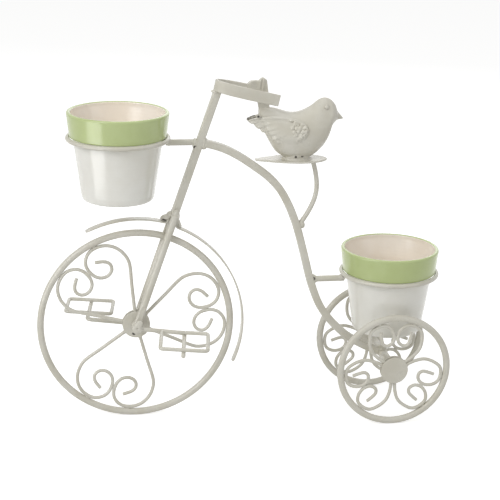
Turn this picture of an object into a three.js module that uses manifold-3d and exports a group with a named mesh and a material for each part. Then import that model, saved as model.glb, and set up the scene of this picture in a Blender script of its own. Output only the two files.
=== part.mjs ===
// Tricycle plant stand: a painted steel frame in the form of an old tricycle, with a large front
// wheel, two small rear wheels, a bird on the saddle and two loose glazed pots that hang in rings.
// Millimetres, +Z up. The front wheel is at -X, the tricycle's left side at -Y, and the origin
// lies on the ground under the middle of the bounding box.
import * as THREE from 'three';
import { mergeVertices } from 'three/addons/utils/BufferGeometryUtils.js';
import Module from 'manifold-3d';

const wasm = await Module();
wasm.setup();

// Clearances
const SEAT_GAP = 0.3; // between pieces that are welded, glazed or laid against each other
const RUNNING_GAP = 0.3; // round the axles, on the radius
const CUT_OVERRUN = 2; // how far a cutting tool reaches past what it cuts

// Steel stock
const BAR = 8; // square bar of the stem, the backbone and the rear axle
const BAR_CHAMFER = 1;
const LEG_DIAMETER = 7.8;
const ARM_DIAMETER = 6.5;
const POST_DIAMETER = 5;
const RING_WIRE = 4.6;
const RIM_TUBE = 7.2;
const SCROLL_WIRE = 3.4;
const CRANK_ROD = 4.6;
const PEDAL_WIRE = 3.5;
const AXLE_DIAMETER = 5;

// Wheels
const FRONT_RADIUS = 104;
const REAR_RADIUS = 61.5;
const WHEELBASE = 269.5;
const REAR_HALF_TRACK = 53.5;
const HUB_RADIUS = 14.6;
const HUB_PLATE = 1.5;
const WIRE_START_RADIUS = 7; // where the scroll wires begin, round the axle
const FRONT_HEART_ANGLE = 11; // of the first pair of scrolls above the rearward direction
const REAR_HEART_ANGLE = 89;
const HEARTS = 3;

// Fork, stem and handlebar
const STEM_LEAN = 18.4;
const STEM_CLEARANCE = 15; // from the front rim to the stem's foot
const STEM_LENGTH = 143.8;
const LEG_LAP = 8; // how far the legs run up beside the stem
const FORK_FOOT_RADIUS = 5.6;
const FORK_FOOT_THICKNESS = 7.3;
const STRIP_HEIGHT = 12;
const STRIP_THICKNESS = 2.4;
const HANDLEBAR_PITCH = 12.5;
const HANDLEBAR_SETBACK = 0.5; // its bend stands this far back from the stem's front face
const HANDLEBAR_HALF_SPREAD = 14.5;
const HANDLEBAR_BOW = 44; // from the front of the bend to where the arms run straight
// Half of the bow: back from the bend's front, and out from the middle
const BOW_SHARES = [
  [0, 0], [0.022, 0.2], [0.1, 0.44], [0.25, 0.69], [0.45, 0.87], [0.71, 0.97], [1, 1],
];
const LEFT_ARM_LENGTH = 65.4; // from the front of the bend
const RIGHT_ARM_LENGTH = 53.3;

// Fenders: two strips on arcs round the front wheel
const FRONT_FENDER_CLEARANCE = 10.65; // from the front rim to each strip
const REAR_FENDER_CLEARANCE = 8.95;
const FENDER_WIDTH = 10;
const FENDER_THICKNESS = 1.7;
const FRONT_FENDER_TIP_ANGLE = 117; // above the rearward direction
const REAR_FENDER_TIP_ANGLE = -24;
const FENDER_STEP_ANGLE = 6; // from one station of the strip to the next
const FENDER_TAB = 7; // the end turned up along the stem
const FENDER_TAB_BEND = 3;

// Backbone, from the stem to the rear axle
const BACKBONE_JOINT_RISE = 195.5; // above the front axle
const BACKBONE_SHARES = [
  [0, 1], [0.052, 0.992], [0.127, 0.971], [0.203, 0.937], [0.279, 0.893], [0.357, 0.842],
  [0.415, 0.788], [0.455, 0.731], [0.489, 0.667], [0.517, 0.6], [0.542, 0.525], [0.567, 0.445],
  [0.589, 0.373], [0.614, 0.309], [0.646, 0.244], [0.69, 0.186], [0.745, 0.133], [0.8, 0.09],
  [0.86, 0.056], [0.93, 0.025], [1, 0],
];

// Saddle and its post
const SADDLE_NOSE_SETBACK = 123.5; // behind the front axle
const SADDLE_LENGTH = 76;
const SADDLE_WIDTH = 37;
const SADDLE_THICKNESS = 2;
const SADDLE_HEIGHT_SHARE = 110 / 119; // of the backbone's drop, above the rear axle
const SADDLE_SHARES = [
  [0, 0.14], [0.03, 0.23], [0.1, 0.37], [0.22, 0.6], [0.38, 0.85], [0.56, 0.99],
  [0.74, 0.94], [0.87, 0.72], [0.95, 0.45], [0.99, 0.2],
];
const POST_SETBACK = 61; // behind the saddle's nose, where the post meets it
const POST_FOOT_SHARE = 17 / 28; // of the backbone's drop, above the rear axle
const POST_BULGE = 11.5;
const POST_SHARES = [[0.18, 0.55], [0.36, 0.93], [0.52, 1], [0.7, 0.78], [0.86, 0.42]];

// Pots, loose in their rings
const POT_HEIGHT = 91.7;
const POT_RIM_RADIUS = 52.3;
const POT_COLLAR_HEIGHT = 25.5;
const POT_COLLAR_FOOT_RADIUS = 49.8;
const POT_BODY_RADIUS = 46.2;
const POT_BASE_RADIUS = 36.8;
const POT_WALL = 4.2;
const POT_FLOOR = 5;
const POT_EDGE = 1.4; // rounding of the rim and of the base
const FRONT_POT_SETBACK = -18.8;
const REAR_POT_SETBACK = 3.3; // behind the rear axle
const FRONT_POT_CLEARANCE = 21.45; // from the front fender's top to the pot over it
const REAR_POT_CLEARANCE = 24.5; // from the rear axle's bar to the pot over it
const RING_OUTSET = 1.4; // the ring wire's centre lies outside the collar's foot

// Cranks and pedals
const CRANK_LENGTH = 50.5;
const CRANK_SLOPE = 7.5; // the cranks lie in one line, which falls towards the rear
const LEFT_CRANK_DROP = 0.6; // how far below the axle each crank passes its boss
const RIGHT_CRANK_DROP = 5.2;
const CRANK_BOSS_RADIUS = 5.6;
const CRANK_BOSS_THICKNESS = 6;
const CRANK_BEND = 5;
const PEDAL_TOE = 8; // the spindle leans back over the crank
const PEDAL_DROOP = 2;
const PEDAL_SLOPE = 2.5; // the loops fall less towards the rear than the cranks do
const PEDAL_LENGTH = 48.6;
const PEDAL_DEPTH = 48.5;
const PEDAL_CORNER = 4;
const PEDAL_STANDOFF = 10; // from the crank to the loop
const SPINDLE_OVERHANG = 7;

// Bird, of pressed and welded sheet
const BIRD_TAIL_ROOT_SETBACK = 2.5; // behind the saddle's nose
const BIRD_LENGTH = 89;
const BIRD_HEIGHT = 63.6;
const BIRD_WIDTH = 38;
const BIRD_TAPER_SHARE = 0.24; // how much narrower each section is above its middle
// Each row: place along the bird, then the underside, the back and the half width there
const BIRD_SHARES = [
  [0, 0.66, 0.87, 0.1], [0.04, 0.54, 0.87, 0.16], [0.085, 0.4, 0.865, 0.23], [0.14, 0.26, 0.85, 0.31],
  [0.2, 0.135, 0.835, 0.385], [0.27, 0.058, 0.805, 0.445], [0.35, 0.014, 0.775, 0.488],
  [0.44, 0, 0.772, 0.5], [0.53, 0.004, 0.81, 0.495], [0.62, 0.038, 0.876, 0.465],
  [0.7, 0.112, 0.966, 0.42], [0.765, 0.205, 1, 0.375], [0.82, 0.34, 0.985, 0.33],
  [0.865, 0.53, 0.945, 0.27], [0.905, 0.6, 0.872, 0.185], [0.935, 0.628, 0.77, 0.095],
  [0.965, 0.636, 0.718, 0.058], [1, 0.645, 0.66, 0.012],
];
const TAIL_THICKNESS = 5;
const TAIL_RISE = 85.5; // its highest tip above the saddle
const TAIL_LENGTH = 24;
const TAIL_OVERHANG = 14.4; // how far its tip reaches ahead of the tail's root
const TAIL_SHARES = [
  [0.66, 0.5], [0.585, 0.62], [0.53, 0.7], [0.02, 0.912], [0.24, 0.958], [0.5, 0.962], [0.56, 0.958],
  [0.74, 1], [0.92, 0.962], [0.99, 0.82], [1.05, 0.64], [1.1, 0.56],
];
const WING_SHEET = 2;
// Each row: place along the bird, the wing's lower and upper edge, and its least distance from the
// bird's middle, as a share of half the bird's width
const WING_SHARES = [
  [-0.136, 0.64, 0.652, 0.05], [-0.112, 0.606, 0.672, 0.08], [-0.056, 0.553, 0.7, 0.15],
  [-0.006, 0.5, 0.711, 0.23], [0.045, 0.445, 0.718, 0.31], [0.101, 0.391, 0.726, 0.37],
  [0.169, 0.312, 0.73, 0.42], [0.258, 0.268, 0.723, 0.45], [0.337, 0.262, 0.701, 0.45],
  [0.427, 0.268, 0.673, 0.45], [0.5, 0.311, 0.637, 0.45], [0.539, 0.38, 0.593, 0.45],
  [0.562, 0.451, 0.52, 0.45],
];
const EYE_RADIUS = 2.5;
const EYE_SHARES = [0.79, 0.86];

// Smoothness
const FRONT_RIM_SEGMENTS = 56;
const REAR_RIM_SEGMENTS = 44;
const RING_SEGMENTS = 36;
const POT_SEGMENTS = 36;
const PLATE_SEGMENTS = 24;
const SCROLL_STEPS = 23;
const BOW_STEPS = 26;
const BACKBONE_STEPS = 28;
const POST_STEPS = 12;
const BEND_STEPS = 4;
const WIRE_SIDES = 6;
const ROD_SIDES = 8;
const FIT_PASSES = 5;

// Places that follow from the sizes
const LENGTH = FRONT_RADIUS + WHEELBASE + REAR_RADIUS;
const FRONT_X = FRONT_RADIUS - LENGTH / 2;
const STEM_FOOT = FRONT_RADIUS + STEM_CLEARANCE; // along the stem from the front axle
const STEM_TOP = STEM_FOOT + STEM_LENGTH;
const LEG_TOP = STEM_FOOT + LEG_LAP;
const FRONT_FENDER_RADIUS = FRONT_RADIUS + FRONT_FENDER_CLEARANCE + FENDER_THICKNESS / 2;
const REAR_FENDER_RADIUS = FRONT_RADIUS + REAR_FENDER_CLEARANCE + FENDER_THICKNESS / 2;
const BACKBONE_JOINT_HEIGHT = FRONT_RADIUS + BACKBONE_JOINT_RISE;
const BACKBONE_DROP = BACKBONE_JOINT_HEIGHT - REAR_RADIUS;
const SADDLE_HEIGHT = REAR_RADIUS + SADDLE_HEIGHT_SHARE * BACKBONE_DROP;
const POST_FOOT_HEIGHT = REAR_RADIUS + POST_FOOT_SHARE * BACKBONE_DROP;
const REAR_X = LENGTH / 2 - REAR_RADIUS;
const FRONT_POT_X = FRONT_X + FRONT_POT_SETBACK;
const REAR_POT_X = REAR_X + REAR_POT_SETBACK;
const FRONT_POT_BASE = FRONT_RADIUS + FRONT_FENDER_RADIUS + FENDER_THICKNESS / 2 + FRONT_POT_CLEARANCE;
const REAR_POT_BASE = REAR_RADIUS + BAR / 2 + REAR_POT_CLEARANCE;
const RING_RADIUS = POT_COLLAR_FOOT_RADIUS + RING_OUTSET;
const RING_DROP = Math.sqrt((RING_WIRE / 2 + SEAT_GAP) ** 2 - RING_OUTSET ** 2); // under the collar
const FRONT_RING_HEIGHT = FRONT_POT_BASE + POT_HEIGHT - POT_COLLAR_HEIGHT - RING_DROP;
const REAR_RING_HEIGHT = REAR_POT_BASE + POT_HEIGHT - POT_COLLAR_HEIGHT - RING_DROP;
const ARM_DROP = (RING_WIRE + ARM_DIAMETER) / 2 + SEAT_GAP;
const PLATE_INSET = SCROLL_WIRE / 2 + SEAT_GAP; // from the wheel's middle plane to its hub plates
const HUB_HALF = PLATE_INSET + HUB_PLATE;
const LEG_OFFSET = BAR / 2 + SEAT_GAP + LEG_DIAMETER / 2;
const FOOT_INNER = HUB_HALF + SEAT_GAP * 2;
const FOOT_OUTER = FOOT_INNER + FORK_FOOT_THICKNESS;
// The bosses clear the fork's feet, and the cranks clear its legs as they turn
const CRANK_OFFSET = Math.max(
  FOOT_OUTER + SEAT_GAP + CRANK_BOSS_THICKNESS / 2,
  LEG_OFFSET + (LEG_DIAMETER + CRANK_ROD) / 2 + RUNNING_GAP,
);
const BORE_RADIUS = AXLE_DIAMETER / 2 + RUNNING_GAP;
const LEFT = -1; // the tricycle's left side is -Y
const RIGHT = 1;

// Finishes
const PAINT = { color: 0xc9c6b8, roughness: 0.42, metalness: 0.15 };
const GLAZE = { color: 0xb9cc93, roughness: 0.12, metalness: 0 };

const radians = THREE.MathUtils.degToRad;
const stand = new THREE.Group();

function place(parent, name, geometry, finish = PAINT) {
  const mesh = new THREE.Mesh(geometry, new THREE.MeshStandardMaterial(finish));
  mesh.name = name;
  parent.add(mesh);
  return mesh;
}

function subgroup(parent, x, y, z) {
  const group = new THREE.Group();
  group.position.set(x, y, z);
  parent.add(group);
  return group;
}

// Booleans
function toManifold(geometry) {
  const plain = geometry.clone();
  for (const attribute of Object.keys(plain.attributes)) {
    if (attribute !== 'position') plain.deleteAttribute(attribute);
  }
  const merged = mergeVertices(plain);
  return new wasm.Manifold(new wasm.Mesh({
    numProp: 3,
    vertProperties: new Float32Array(merged.attributes.position.array),
    triVerts: new Uint32Array(merged.index.array),
  }));
}

function toGeometry(manifold) {
  const mesh = manifold.getMesh();
  const geometry = new THREE.BufferGeometry();
  geometry.setAttribute('position', new THREE.BufferAttribute(mesh.vertProperties, 3));
  geometry.setIndex(new THREE.BufferAttribute(mesh.triVerts, 1));
  geometry.computeVertexNormals();
  return geometry;
}

function cut(geometry, ...cutters) {
  let solid = toManifold(geometry);
  for (const cutter of cutters) solid = solid.subtract(toManifold(cutter));
  return toGeometry(solid);
}

function join(...geometries) {
  let solid = toManifold(geometries[0]);
  for (const geometry of geometries.slice(1)) solid = solid.add(toManifold(geometry));
  return toGeometry(solid);
}

// A route through chosen stations, one step of the sweep to each
class Route extends THREE.Curve {
  constructor(stations) {
    super();
    this.stations = stations;
  }

  getUtoTmapping(share) {
    return share;
  }

  getPoint(share) {
    const place = share * (this.stations.length - 1);
    const index = Math.min(Math.floor(place), this.stations.length - 2);
    return this.stations[index].clone().lerp(this.stations[index + 1], place - index);
  }

  getTangent(share) {
    const last = this.stations.length - 1;
    const index = Math.round(share * last);
    const before = this.stations[Math.max(index - 1, 0)];
    const here = this.stations[index];
    const after = this.stations[Math.min(index + 1, last)];
    const tangent = here.clone().sub(before).normalize();
    return tangent.add(after.clone().sub(here).normalize()).normalize();
  }
}

function sweep(outline, stations) {
  const settings = { steps: stations.length - 1, bevelEnabled: false, extrudePath: new Route(stations) };
  return new THREE.ExtrudeGeometry(outline, settings);
}

function polygonShape(radius, sides) {
  const points = [];
  for (let side = 0; side < sides; side += 1) {
    const angle = (side + 1 / 2) * 2 * Math.PI / sides;
    points.push(new THREE.Vector2(radius * Math.cos(angle), radius * Math.sin(angle)));
  }
  return new THREE.Shape(points);
}

function barShape(side, chamfer) {
  const half = side / 2;
  const flat = half - chamfer;
  const corners = [
    [flat, -half], [half, -flat], [half, flat], [flat, half],
    [-flat, half], [-half, flat], [-half, -flat], [-flat, -half],
  ];
  return new THREE.Shape(corners.map(([x, y]) => new THREE.Vector2(x, y)));
}

function stripShape(height, thickness) {
  const x = height / 2;
  const y = thickness / 2;
  return new THREE.Shape([[x, -y], [x, y], [-x, y], [-x, -y]].map((p) => new THREE.Vector2(...p)));
}

function smooth(points, steps) {
  return new THREE.CatmullRomCurve3(points, false, 'centripetal').getSpacedPoints(steps);
}

// A rounded turn of a bent rod: the stations of an arc between two directions from a corner
function bentCorner(corner, towardsStart, towardsEnd, radius, steps) {
  const half = towardsStart.angleTo(towardsEnd) / 2;
  const setback = radius / Math.tan(half);
  const start = corner.clone().addScaledVector(towardsStart, setback);
  const end = corner.clone().addScaledVector(towardsEnd, setback);
  const arc = new THREE.QuadraticBezierCurve3(start, corner, end);
  return arc.getPoints(steps);
}

// A washer or plate about the Y axis
function plate(outerRadius, boreRadius, thickness) {
  const half = thickness / 2;
  const profile = [[boreRadius, -half], [outerRadius, -half], [outerRadius, half], [boreRadius, half]];
  profile.push(profile[0]);
  return new THREE.LatheGeometry(profile.map((p) => new THREE.Vector2(...p)), PLATE_SEGMENTS);
}

function rod(radius, length, sides = ROD_SIDES) {
  return new THREE.CylinderGeometry(radius, radius, length, sides);
}

// A hoop about the Y axis
function hoop(centreRadius, wireDiameter, segments) {
  const profile = [];
  for (let side = 0; side <= ROD_SIDES; side += 1) {
    const angle = side % ROD_SIDES * 2 * Math.PI / ROD_SIDES;
    const out = centreRadius + wireDiameter / 2 * Math.cos(angle);
    profile.push(new THREE.Vector2(out, wireDiameter / 2 * Math.sin(angle)));
  }
  return new THREE.LatheGeometry(profile, segments);
}

// A body through closed rings of equally many points, closed at both ends
function loft(rings) {
  const count = rings[0].length;
  const points = rings.flat();
  const faces = [];
  for (let ring = 0; ring < rings.length - 1; ring += 1) {
    for (let step = 0; step < count; step += 1) {
      const next = (step + 1) % count;
      const here = ring * count;
      const there = here + count;
      faces.push(here + step, here + next, there + next);
      faces.push(here + step, there + next, there + step);
    }
  }
  const last = (rings.length - 1) * count;
  for (let step = 1; step < count - 1; step += 1) {
    faces.push(0, step + 1, step);
    faces.push(last, last + step, last + step + 1);
  }
  const geometry = new THREE.BufferGeometry();
  const values = points.flatMap((point) => [point.x, point.y, point.z]);
  geometry.setAttribute('position', new THREE.Float32BufferAttribute(values, 3));
  geometry.setIndex(faces);
  geometry.computeVertexNormals();
  return geometry;
}

// Scroll wires. A scroll leaves the hub, swings round a lobe that touches the rim and its mirror
// twin, and ends in a curl inside the lobe. Its heart's axis is local +X. The lobe's points are
// shares of the reach to the rim, measured along the heart's axis and away from the twin.
const FRONT_LOBE_SHARES = [
  [0.36, 0.232], [0.592, 0.391], [0.684, 0.41], [0.765, 0.404], [0.837, 0.377], [0.902, 0.326],
  [0.95, 0.244], [0.964, 0.144], [0.923, 0.055], [0.86, 0.012], [0.785, 0], [0.71, 0.012],
  [0.656, 0.049], [0.6255, 0.122], [0.65, 0.195], [0.712, 0.224], [0.769, 0.2], [0.836, 0.112],
];
const REAR_LOBE_SHARES = [
  [0.305, 0.365], [0.439, 0.471], [0.639, 0.511], [0.82, 0.48], [0.92, 0.356], [0.954, 0.204],
  [0.887, 0.083], [0.79, 0.02], [0.69, 0], [0.575, 0.035], [0.513, 0.14], [0.55, 0.225],
  [0.65, 0.262], [0.796, 0.289],
];
const TWIN_OFFSET = (SCROLL_WIRE + SEAT_GAP) / 2;
const FRONT_REACH = FRONT_RADIUS - RIM_TUBE - SCROLL_WIRE / 2 - SEAT_GAP;
const REAR_REACH = REAR_RADIUS - RIM_TUBE - SCROLL_WIRE / 2 - SEAT_GAP;

// The front scrolls leave the hub straight out; the rear ones leave it side by side with the
// scroll of the next heart, along the edge between the two
function radialStart(firstPoint) {
  return [firstPoint.clone().setLength(WIRE_START_RADIUS)];
}

function edgeStart() {
  const edge = Math.PI / HEARTS;
  const along = new THREE.Vector3(Math.cos(edge), 0, Math.sin(edge));
  const inward = new THREE.Vector3(Math.sin(edge), 0, -Math.cos(edge));
  return [WIRE_START_RADIUS, HUB_RADIUS].map((out) => (
    along.clone().multiplyScalar(out).addScaledVector(inward, TWIN_OFFSET)
  ));
}

function scrollStations(lobeShares, reach, startOf) {
  let scale = reach;
  let lift = TWIN_OFFSET;
  let stations = [];
  for (let pass = 0; pass < FIT_PASSES; pass += 1) {
    const lobe = lobeShares.map(([out, aside]) => new THREE.Vector3(out * scale, 0, lift + aside * scale));
    stations = smooth([...startOf(lobe[0]), ...lobe], SCROLL_STEPS);
    scale *= reach / Math.max(...stations.map((point) => point.length()));
    lift += TWIN_OFFSET - Math.min(...stations.slice(SCROLL_STEPS / 2).map((point) => point.z));
  }
  return stations;
}

function scroll(stations, side) {
  const turned = stations.map((point) => new THREE.Vector3(point.x, point.y, side * point.z));
  return sweep(polygonShape(SCROLL_WIRE / 2, WIRE_SIDES), turned);
}

function addScrolls(wheel, prefix, lobeShares, reach, startOf, firstAngle) {
  const stations = scrollStations(lobeShares, reach, startOf);
  for (let heart = 0; heart < HEARTS; heart += 1) {
    for (const side of [LEFT, RIGHT]) {
      const label = `${prefix}_scroll_${heart * 2 + (side === LEFT ? 1 : 2)}`;
      const mesh = place(wheel, label, scroll(stations, side));
      mesh.rotation.y = -radians(firstAngle + heart * 360 / HEARTS);
    }
  }
}

// Front wheel, its axle, cranks and pedals
const frontWheel = subgroup(stand, FRONT_X, 0, FRONT_RADIUS);
place(frontWheel, 'front_rim', hoop(FRONT_RADIUS - RIM_TUBE / 2, RIM_TUBE, FRONT_RIM_SEGMENTS));
addScrolls(frontWheel, 'front', FRONT_LOBE_SHARES, FRONT_REACH, radialStart, FRONT_HEART_ANGLE);
for (const [side, label] of [[LEFT, 'left'], [RIGHT, 'right']]) {
  const hubPlate = place(frontWheel, `front_${label}_hub_plate`, plate(HUB_RADIUS, BORE_RADIUS, HUB_PLATE));
  hubPlate.position.y = side * (PLATE_INSET + HUB_PLATE / 2);
}
const FRONT_AXLE_LENGTH = 2 * (CRANK_OFFSET + CRANK_BOSS_THICKNESS / 2) - 2 * SEAT_GAP;
place(frontWheel, 'front_axle', rod(AXLE_DIAMETER / 2, FRONT_AXLE_LENGTH, PLATE_SEGMENTS / 2));

// A crank and its spindle are one bent rod; the crank lies along local +X, welded to its boss
const spindleDirection = new THREE.Vector3(
  -Math.sin(radians(PEDAL_TOE)),
  -Math.cos(radians(PEDAL_TOE)) * Math.cos(radians(PEDAL_DROOP)),
  -Math.cos(radians(PEDAL_TOE)) * Math.sin(radians(PEDAL_DROOP)),
);
const spindleLength = PEDAL_STANDOFF + PEDAL_DEPTH + SPINDLE_OVERHANG;

function crank(drop) {
  const corner = new THREE.Vector3(CRANK_LENGTH, 0, -drop);
  const towardsBoss = new THREE.Vector3(-1, 0, 0);
  const bend = bentCorner(corner, towardsBoss, spindleDirection, CRANK_BEND, BEND_STEPS);
  const tip = corner.clone().addScaledVector(spindleDirection, spindleLength);
  // The rod starts inside the boss's wall, clear of the bore
  const wallRadius = (BORE_RADIUS + CRANK_BOSS_RADIUS) / 2;
  const startX = Math.sqrt(Math.max(wallRadius ** 2 - drop ** 2, (CRANK_ROD / 4) ** 2));
  const start = new THREE.Vector3(startX, 0, -drop);
  const arm = sweep(polygonShape(CRANK_ROD / 2, ROD_SIDES), [start, ...bend, tip]);
  const boss = rod(CRANK_BOSS_RADIUS, CRANK_BOSS_THICKNESS, PLATE_SEGMENTS);
  const bore = rod(BORE_RADIUS, CRANK_BOSS_THICKNESS + CUT_OVERRUN, PLATE_SEGMENTS / 2);
  return cut(join(boss, arm), bore);
}

// The pedal is a wire loop, its ends butted in the middle of the bar nearest the crank
function pedal() {
  const corners = [[-1, -1], [-1, 1], [1, 1], [1, -1]].map(([x, y]) => (
    new THREE.Vector3(x * PEDAL_LENGTH / 2, y * PEDAL_DEPTH / 2, 0)
  ));
  const butt = new THREE.Vector3(0, PEDAL_DEPTH / 2, 0);
  const order = [corners[2], corners[3], corners[0], corners[1]];
  const stations = [butt.clone().setX(SEAT_GAP / 2)];
  order.forEach((corner, index) => {
    const before = index === 0 ? butt : order[index - 1];
    const after = index === order.length - 1 ? butt : order[index + 1];
    const back = before.clone().sub(corner).normalize();
    const on = after.clone().sub(corner).normalize();
    stations.push(...bentCorner(corner, back, on, PEDAL_CORNER, BEND_STEPS - 1));
  });
  stations.push(butt.clone().setX(-SEAT_GAP / 2));
  return sweep(polygonShape(PEDAL_WIRE / 2, WIRE_SIDES), stations);
}

function addCrank(side, label, drop) {
  const arm = subgroup(frontWheel, 0, side * CRANK_OFFSET, 0);
  const turned = new THREE.Group();
  arm.add(turned);
  // The left crank points to the rear and the right one to the front, so one falls and one rises
  turned.rotation.set(0, -side * radians(CRANK_SLOPE), side === RIGHT ? Math.PI : 0, 'ZYX');
  place(turned, `${label}_crank`, crank(drop));
  const loop = place(turned, `${label}_pedal`, pedal());
  const across = new THREE.Vector3().crossVectors(new THREE.Vector3(0, 0, 1), spindleDirection).normalize();
  const upward = new THREE.Vector3().crossVectors(spindleDirection, across).normalize();
  const inward = spindleDirection.clone().negate();
  loop.quaternion.setFromRotationMatrix(new THREE.Matrix4().makeBasis(across, inward, upward));
  loop.rotateY(side * radians(CRANK_SLOPE - PEDAL_SLOPE));
  loop.position.set(CRANK_LENGTH, 0, -drop);
  loop.position.addScaledVector(spindleDirection, PEDAL_STANDOFF + PEDAL_DEPTH / 2);
  loop.position.addScaledVector(upward, (CRANK_ROD + PEDAL_WIRE) / 2 + SEAT_GAP);
}
addCrank(LEFT, 'left', LEFT_CRANK_DROP);
addCrank(RIGHT, 'right', RIGHT_CRANK_DROP);

// Rear wheels: a bored plate inside, a plain cover plate outside
for (const [side, label] of [[LEFT, 'left'], [RIGHT, 'right']]) {
  const wheel = subgroup(stand, REAR_X, side * REAR_HALF_TRACK, REAR_RADIUS);
  const prefix = `${label}_rear`;
  place(wheel, `${prefix}_rim`, hoop(REAR_RADIUS - RIM_TUBE / 2, RIM_TUBE, REAR_RIM_SEGMENTS));
  addScrolls(wheel, prefix, REAR_LOBE_SHARES, REAR_REACH, edgeStart, REAR_HEART_ANGLE);
  const inner = place(wheel, `${prefix}_hub_plate`, plate(HUB_RADIUS, BORE_RADIUS, HUB_PLATE));
  inner.position.y = -side * (PLATE_INSET + HUB_PLATE / 2);
  const cover = place(wheel, `${prefix}_hub_cover`, rod(HUB_RADIUS, HUB_PLATE, PLATE_SEGMENTS));
  cover.position.y = side * (PLATE_INSET + HUB_PLATE / 2);
}

// Rear axle: a square bar with a round journal at each end
const AXLE_BAR_LENGTH = 2 * (REAR_HALF_TRACK - HUB_HALF - 2 * SEAT_GAP);
const JOURNALS_LENGTH = 2 * (REAR_HALF_TRACK + PLATE_INSET - SEAT_GAP);
const rearAxlePlace = new THREE.Matrix4().makeTranslation(REAR_X, 0, REAR_RADIUS);
const axleEnds = [-1, 1].map((end) => new THREE.Vector3(0, end * AXLE_BAR_LENGTH / 2, 0));
const axleBar = sweep(barShape(BAR, BAR_CHAMFER), axleEnds);
place(
  stand,
  'rear_axle',
  join(axleBar, rod(AXLE_DIAMETER / 2, JOURNALS_LENGTH, PLATE_SEGMENTS / 2)).applyMatrix4(rearAxlePlace),
);

// Stem, in line with the fork legs; local +Z runs up the stem from the front axle
const stemPlace = new THREE.Matrix4().makeRotationY(radians(STEM_LEAN)).setPosition(FRONT_X, 0, FRONT_RADIUS);

function onStem(along, ahead = 0) {
  return new THREE.Vector3(ahead, 0, along).applyMatrix4(stemPlace);
}

function stemBar(side) {
  const ends = [STEM_FOOT, STEM_TOP + CUT_OVERRUN].map((along) => new THREE.Vector3(0, 0, along));
  return sweep(barShape(side, BAR_CHAMFER), ends).applyMatrix4(stemPlace);
}
const fattenedStem = stemBar(BAR + 2 * SEAT_GAP);

// Handlebar: a flat strip, bent into a bow that rests on the stem's top, its arms beside the tail
const bowPlace = onStem(STEM_TOP);
bowPlace.x += HANDLEBAR_SETBACK + (STRIP_THICKNESS - BAR) / 2;
bowPlace.z += STRIP_HEIGHT / 2;
const handlebarPlace = new THREE.Matrix4().makeRotationY(radians(HANDLEBAR_PITCH)).setPosition(bowPlace);

function handlebarStations() {
  const half = (side) => BOW_SHARES.map(([back, out]) => (
    new THREE.Vector3(back * HANDLEBAR_BOW, side * out * HANDLEBAR_HALF_SPREAD, 0)
  ));
  const bow = smooth([...half(RIGHT).reverse(), ...half(LEFT).slice(1)], BOW_STEPS);
  const rightTip = new THREE.Vector3(RIGHT_ARM_LENGTH, HANDLEBAR_HALF_SPREAD, 0);
  const leftTip = new THREE.Vector3(LEFT_ARM_LENGTH, -HANDLEBAR_HALF_SPREAD, 0);
  return [rightTip, ...bow, leftTip];
}
const handlebar = sweep(stripShape(STRIP_HEIGHT, STRIP_THICKNESS), handlebarStations());
place(stand, 'handlebar', handlebar.applyMatrix4(handlebarPlace));

const stemTrim = new THREE.BoxGeometry(4 * BAR, 4 * BAR, STRIP_HEIGHT + 2 * SEAT_GAP);
place(stand, 'stem', cut(stemBar(BAR), stemTrim.applyMatrix4(handlebarPlace)));

// Fork legs: round rods beside the stem, each with an eye for the axle at its foot
for (const [side, label] of [[LEFT, 'left'], [RIGHT, 'right']]) {
  const leg = rod(LEG_DIAMETER / 2, LEG_TOP, PLATE_SEGMENTS / 2).rotateX(Math.PI / 2);
  leg.translate(0, side * LEG_OFFSET, LEG_TOP / 2);
  const inboard = new THREE.BoxGeometry(4 * FORK_FOOT_RADIUS, 2 * FOOT_INNER, 4 * FORK_FOOT_RADIUS);
  const outboard = inboard.clone().translate(0, side * (FOOT_INNER + FOOT_OUTER), 0);
  const eye = rod(FORK_FOOT_RADIUS, FORK_FOOT_THICKNESS, PLATE_SEGMENTS);
  eye.translate(0, side * (FOOT_INNER + FOOT_OUTER) / 2, 0);
  const bore = rod(BORE_RADIUS, 4 * FOOT_OUTER, PLATE_SEGMENTS / 2);
  const shaped = cut(join(cut(leg, inboard, outboard), eye), bore);
  place(stand, `${label}_fork_leg`, shaped.applyMatrix4(stemPlace));
}

// Fenders: strips on arcs round the front axle, each turned up along the stem where they meet. A
// tab's inner face lies against the stem's face, half a bar from the stem's middle
function fender(radius, tipAngle, side) {
  const on = (angle, out = 0) => {
    const turn = radians(angle);
    return new THREE.Vector3(Math.cos(turn), 0, Math.sin(turn)).multiplyScalar(radius + out);
  };
  const tabOffset = BAR / 2 + SEAT_GAP * 2 + FENDER_THICKNESS / 2;
  const tabAngle = 90 - STEM_LEAN + side * THREE.MathUtils.radToDeg(Math.asin(tabOffset / radius));
  const steps = Math.ceil(Math.abs(tabAngle - tipAngle) / FENDER_STEP_ANGLE);
  const arc = [];
  for (let step = 0; step < steps; step += 1) {
    arc.push(on(tipAngle + (tabAngle - tipAngle) * step / steps));
  }
  const corner = on(tabAngle);
  const tabTop = on(tabAngle, FENDER_TAB);
  const back = arc[arc.length - 1].clone().sub(corner).normalize();
  const up = tabTop.clone().sub(corner).normalize();
  const stations = [...arc, ...bentCorner(corner, back, up, FENDER_TAB_BEND, BEND_STEPS), tabTop];
  const strip = sweep(stripShape(FENDER_WIDTH, FENDER_THICKNESS), stations);
  return strip.translate(FRONT_X, 0, FRONT_RADIUS);
}
place(stand, 'front_fender', fender(FRONT_FENDER_RADIUS, FRONT_FENDER_TIP_ANGLE, 1));
place(stand, 'rear_fender', fender(REAR_FENDER_RADIUS, REAR_FENDER_TIP_ANGLE, -1));

// Backbone: a square bar from the stem's back down to the rear axle
const jointPoint = onStem((BACKBONE_JOINT_HEIGHT - FRONT_RADIUS) / Math.cos(radians(STEM_LEAN)));
const backboneRun = REAR_X - jointPoint.x;

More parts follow.
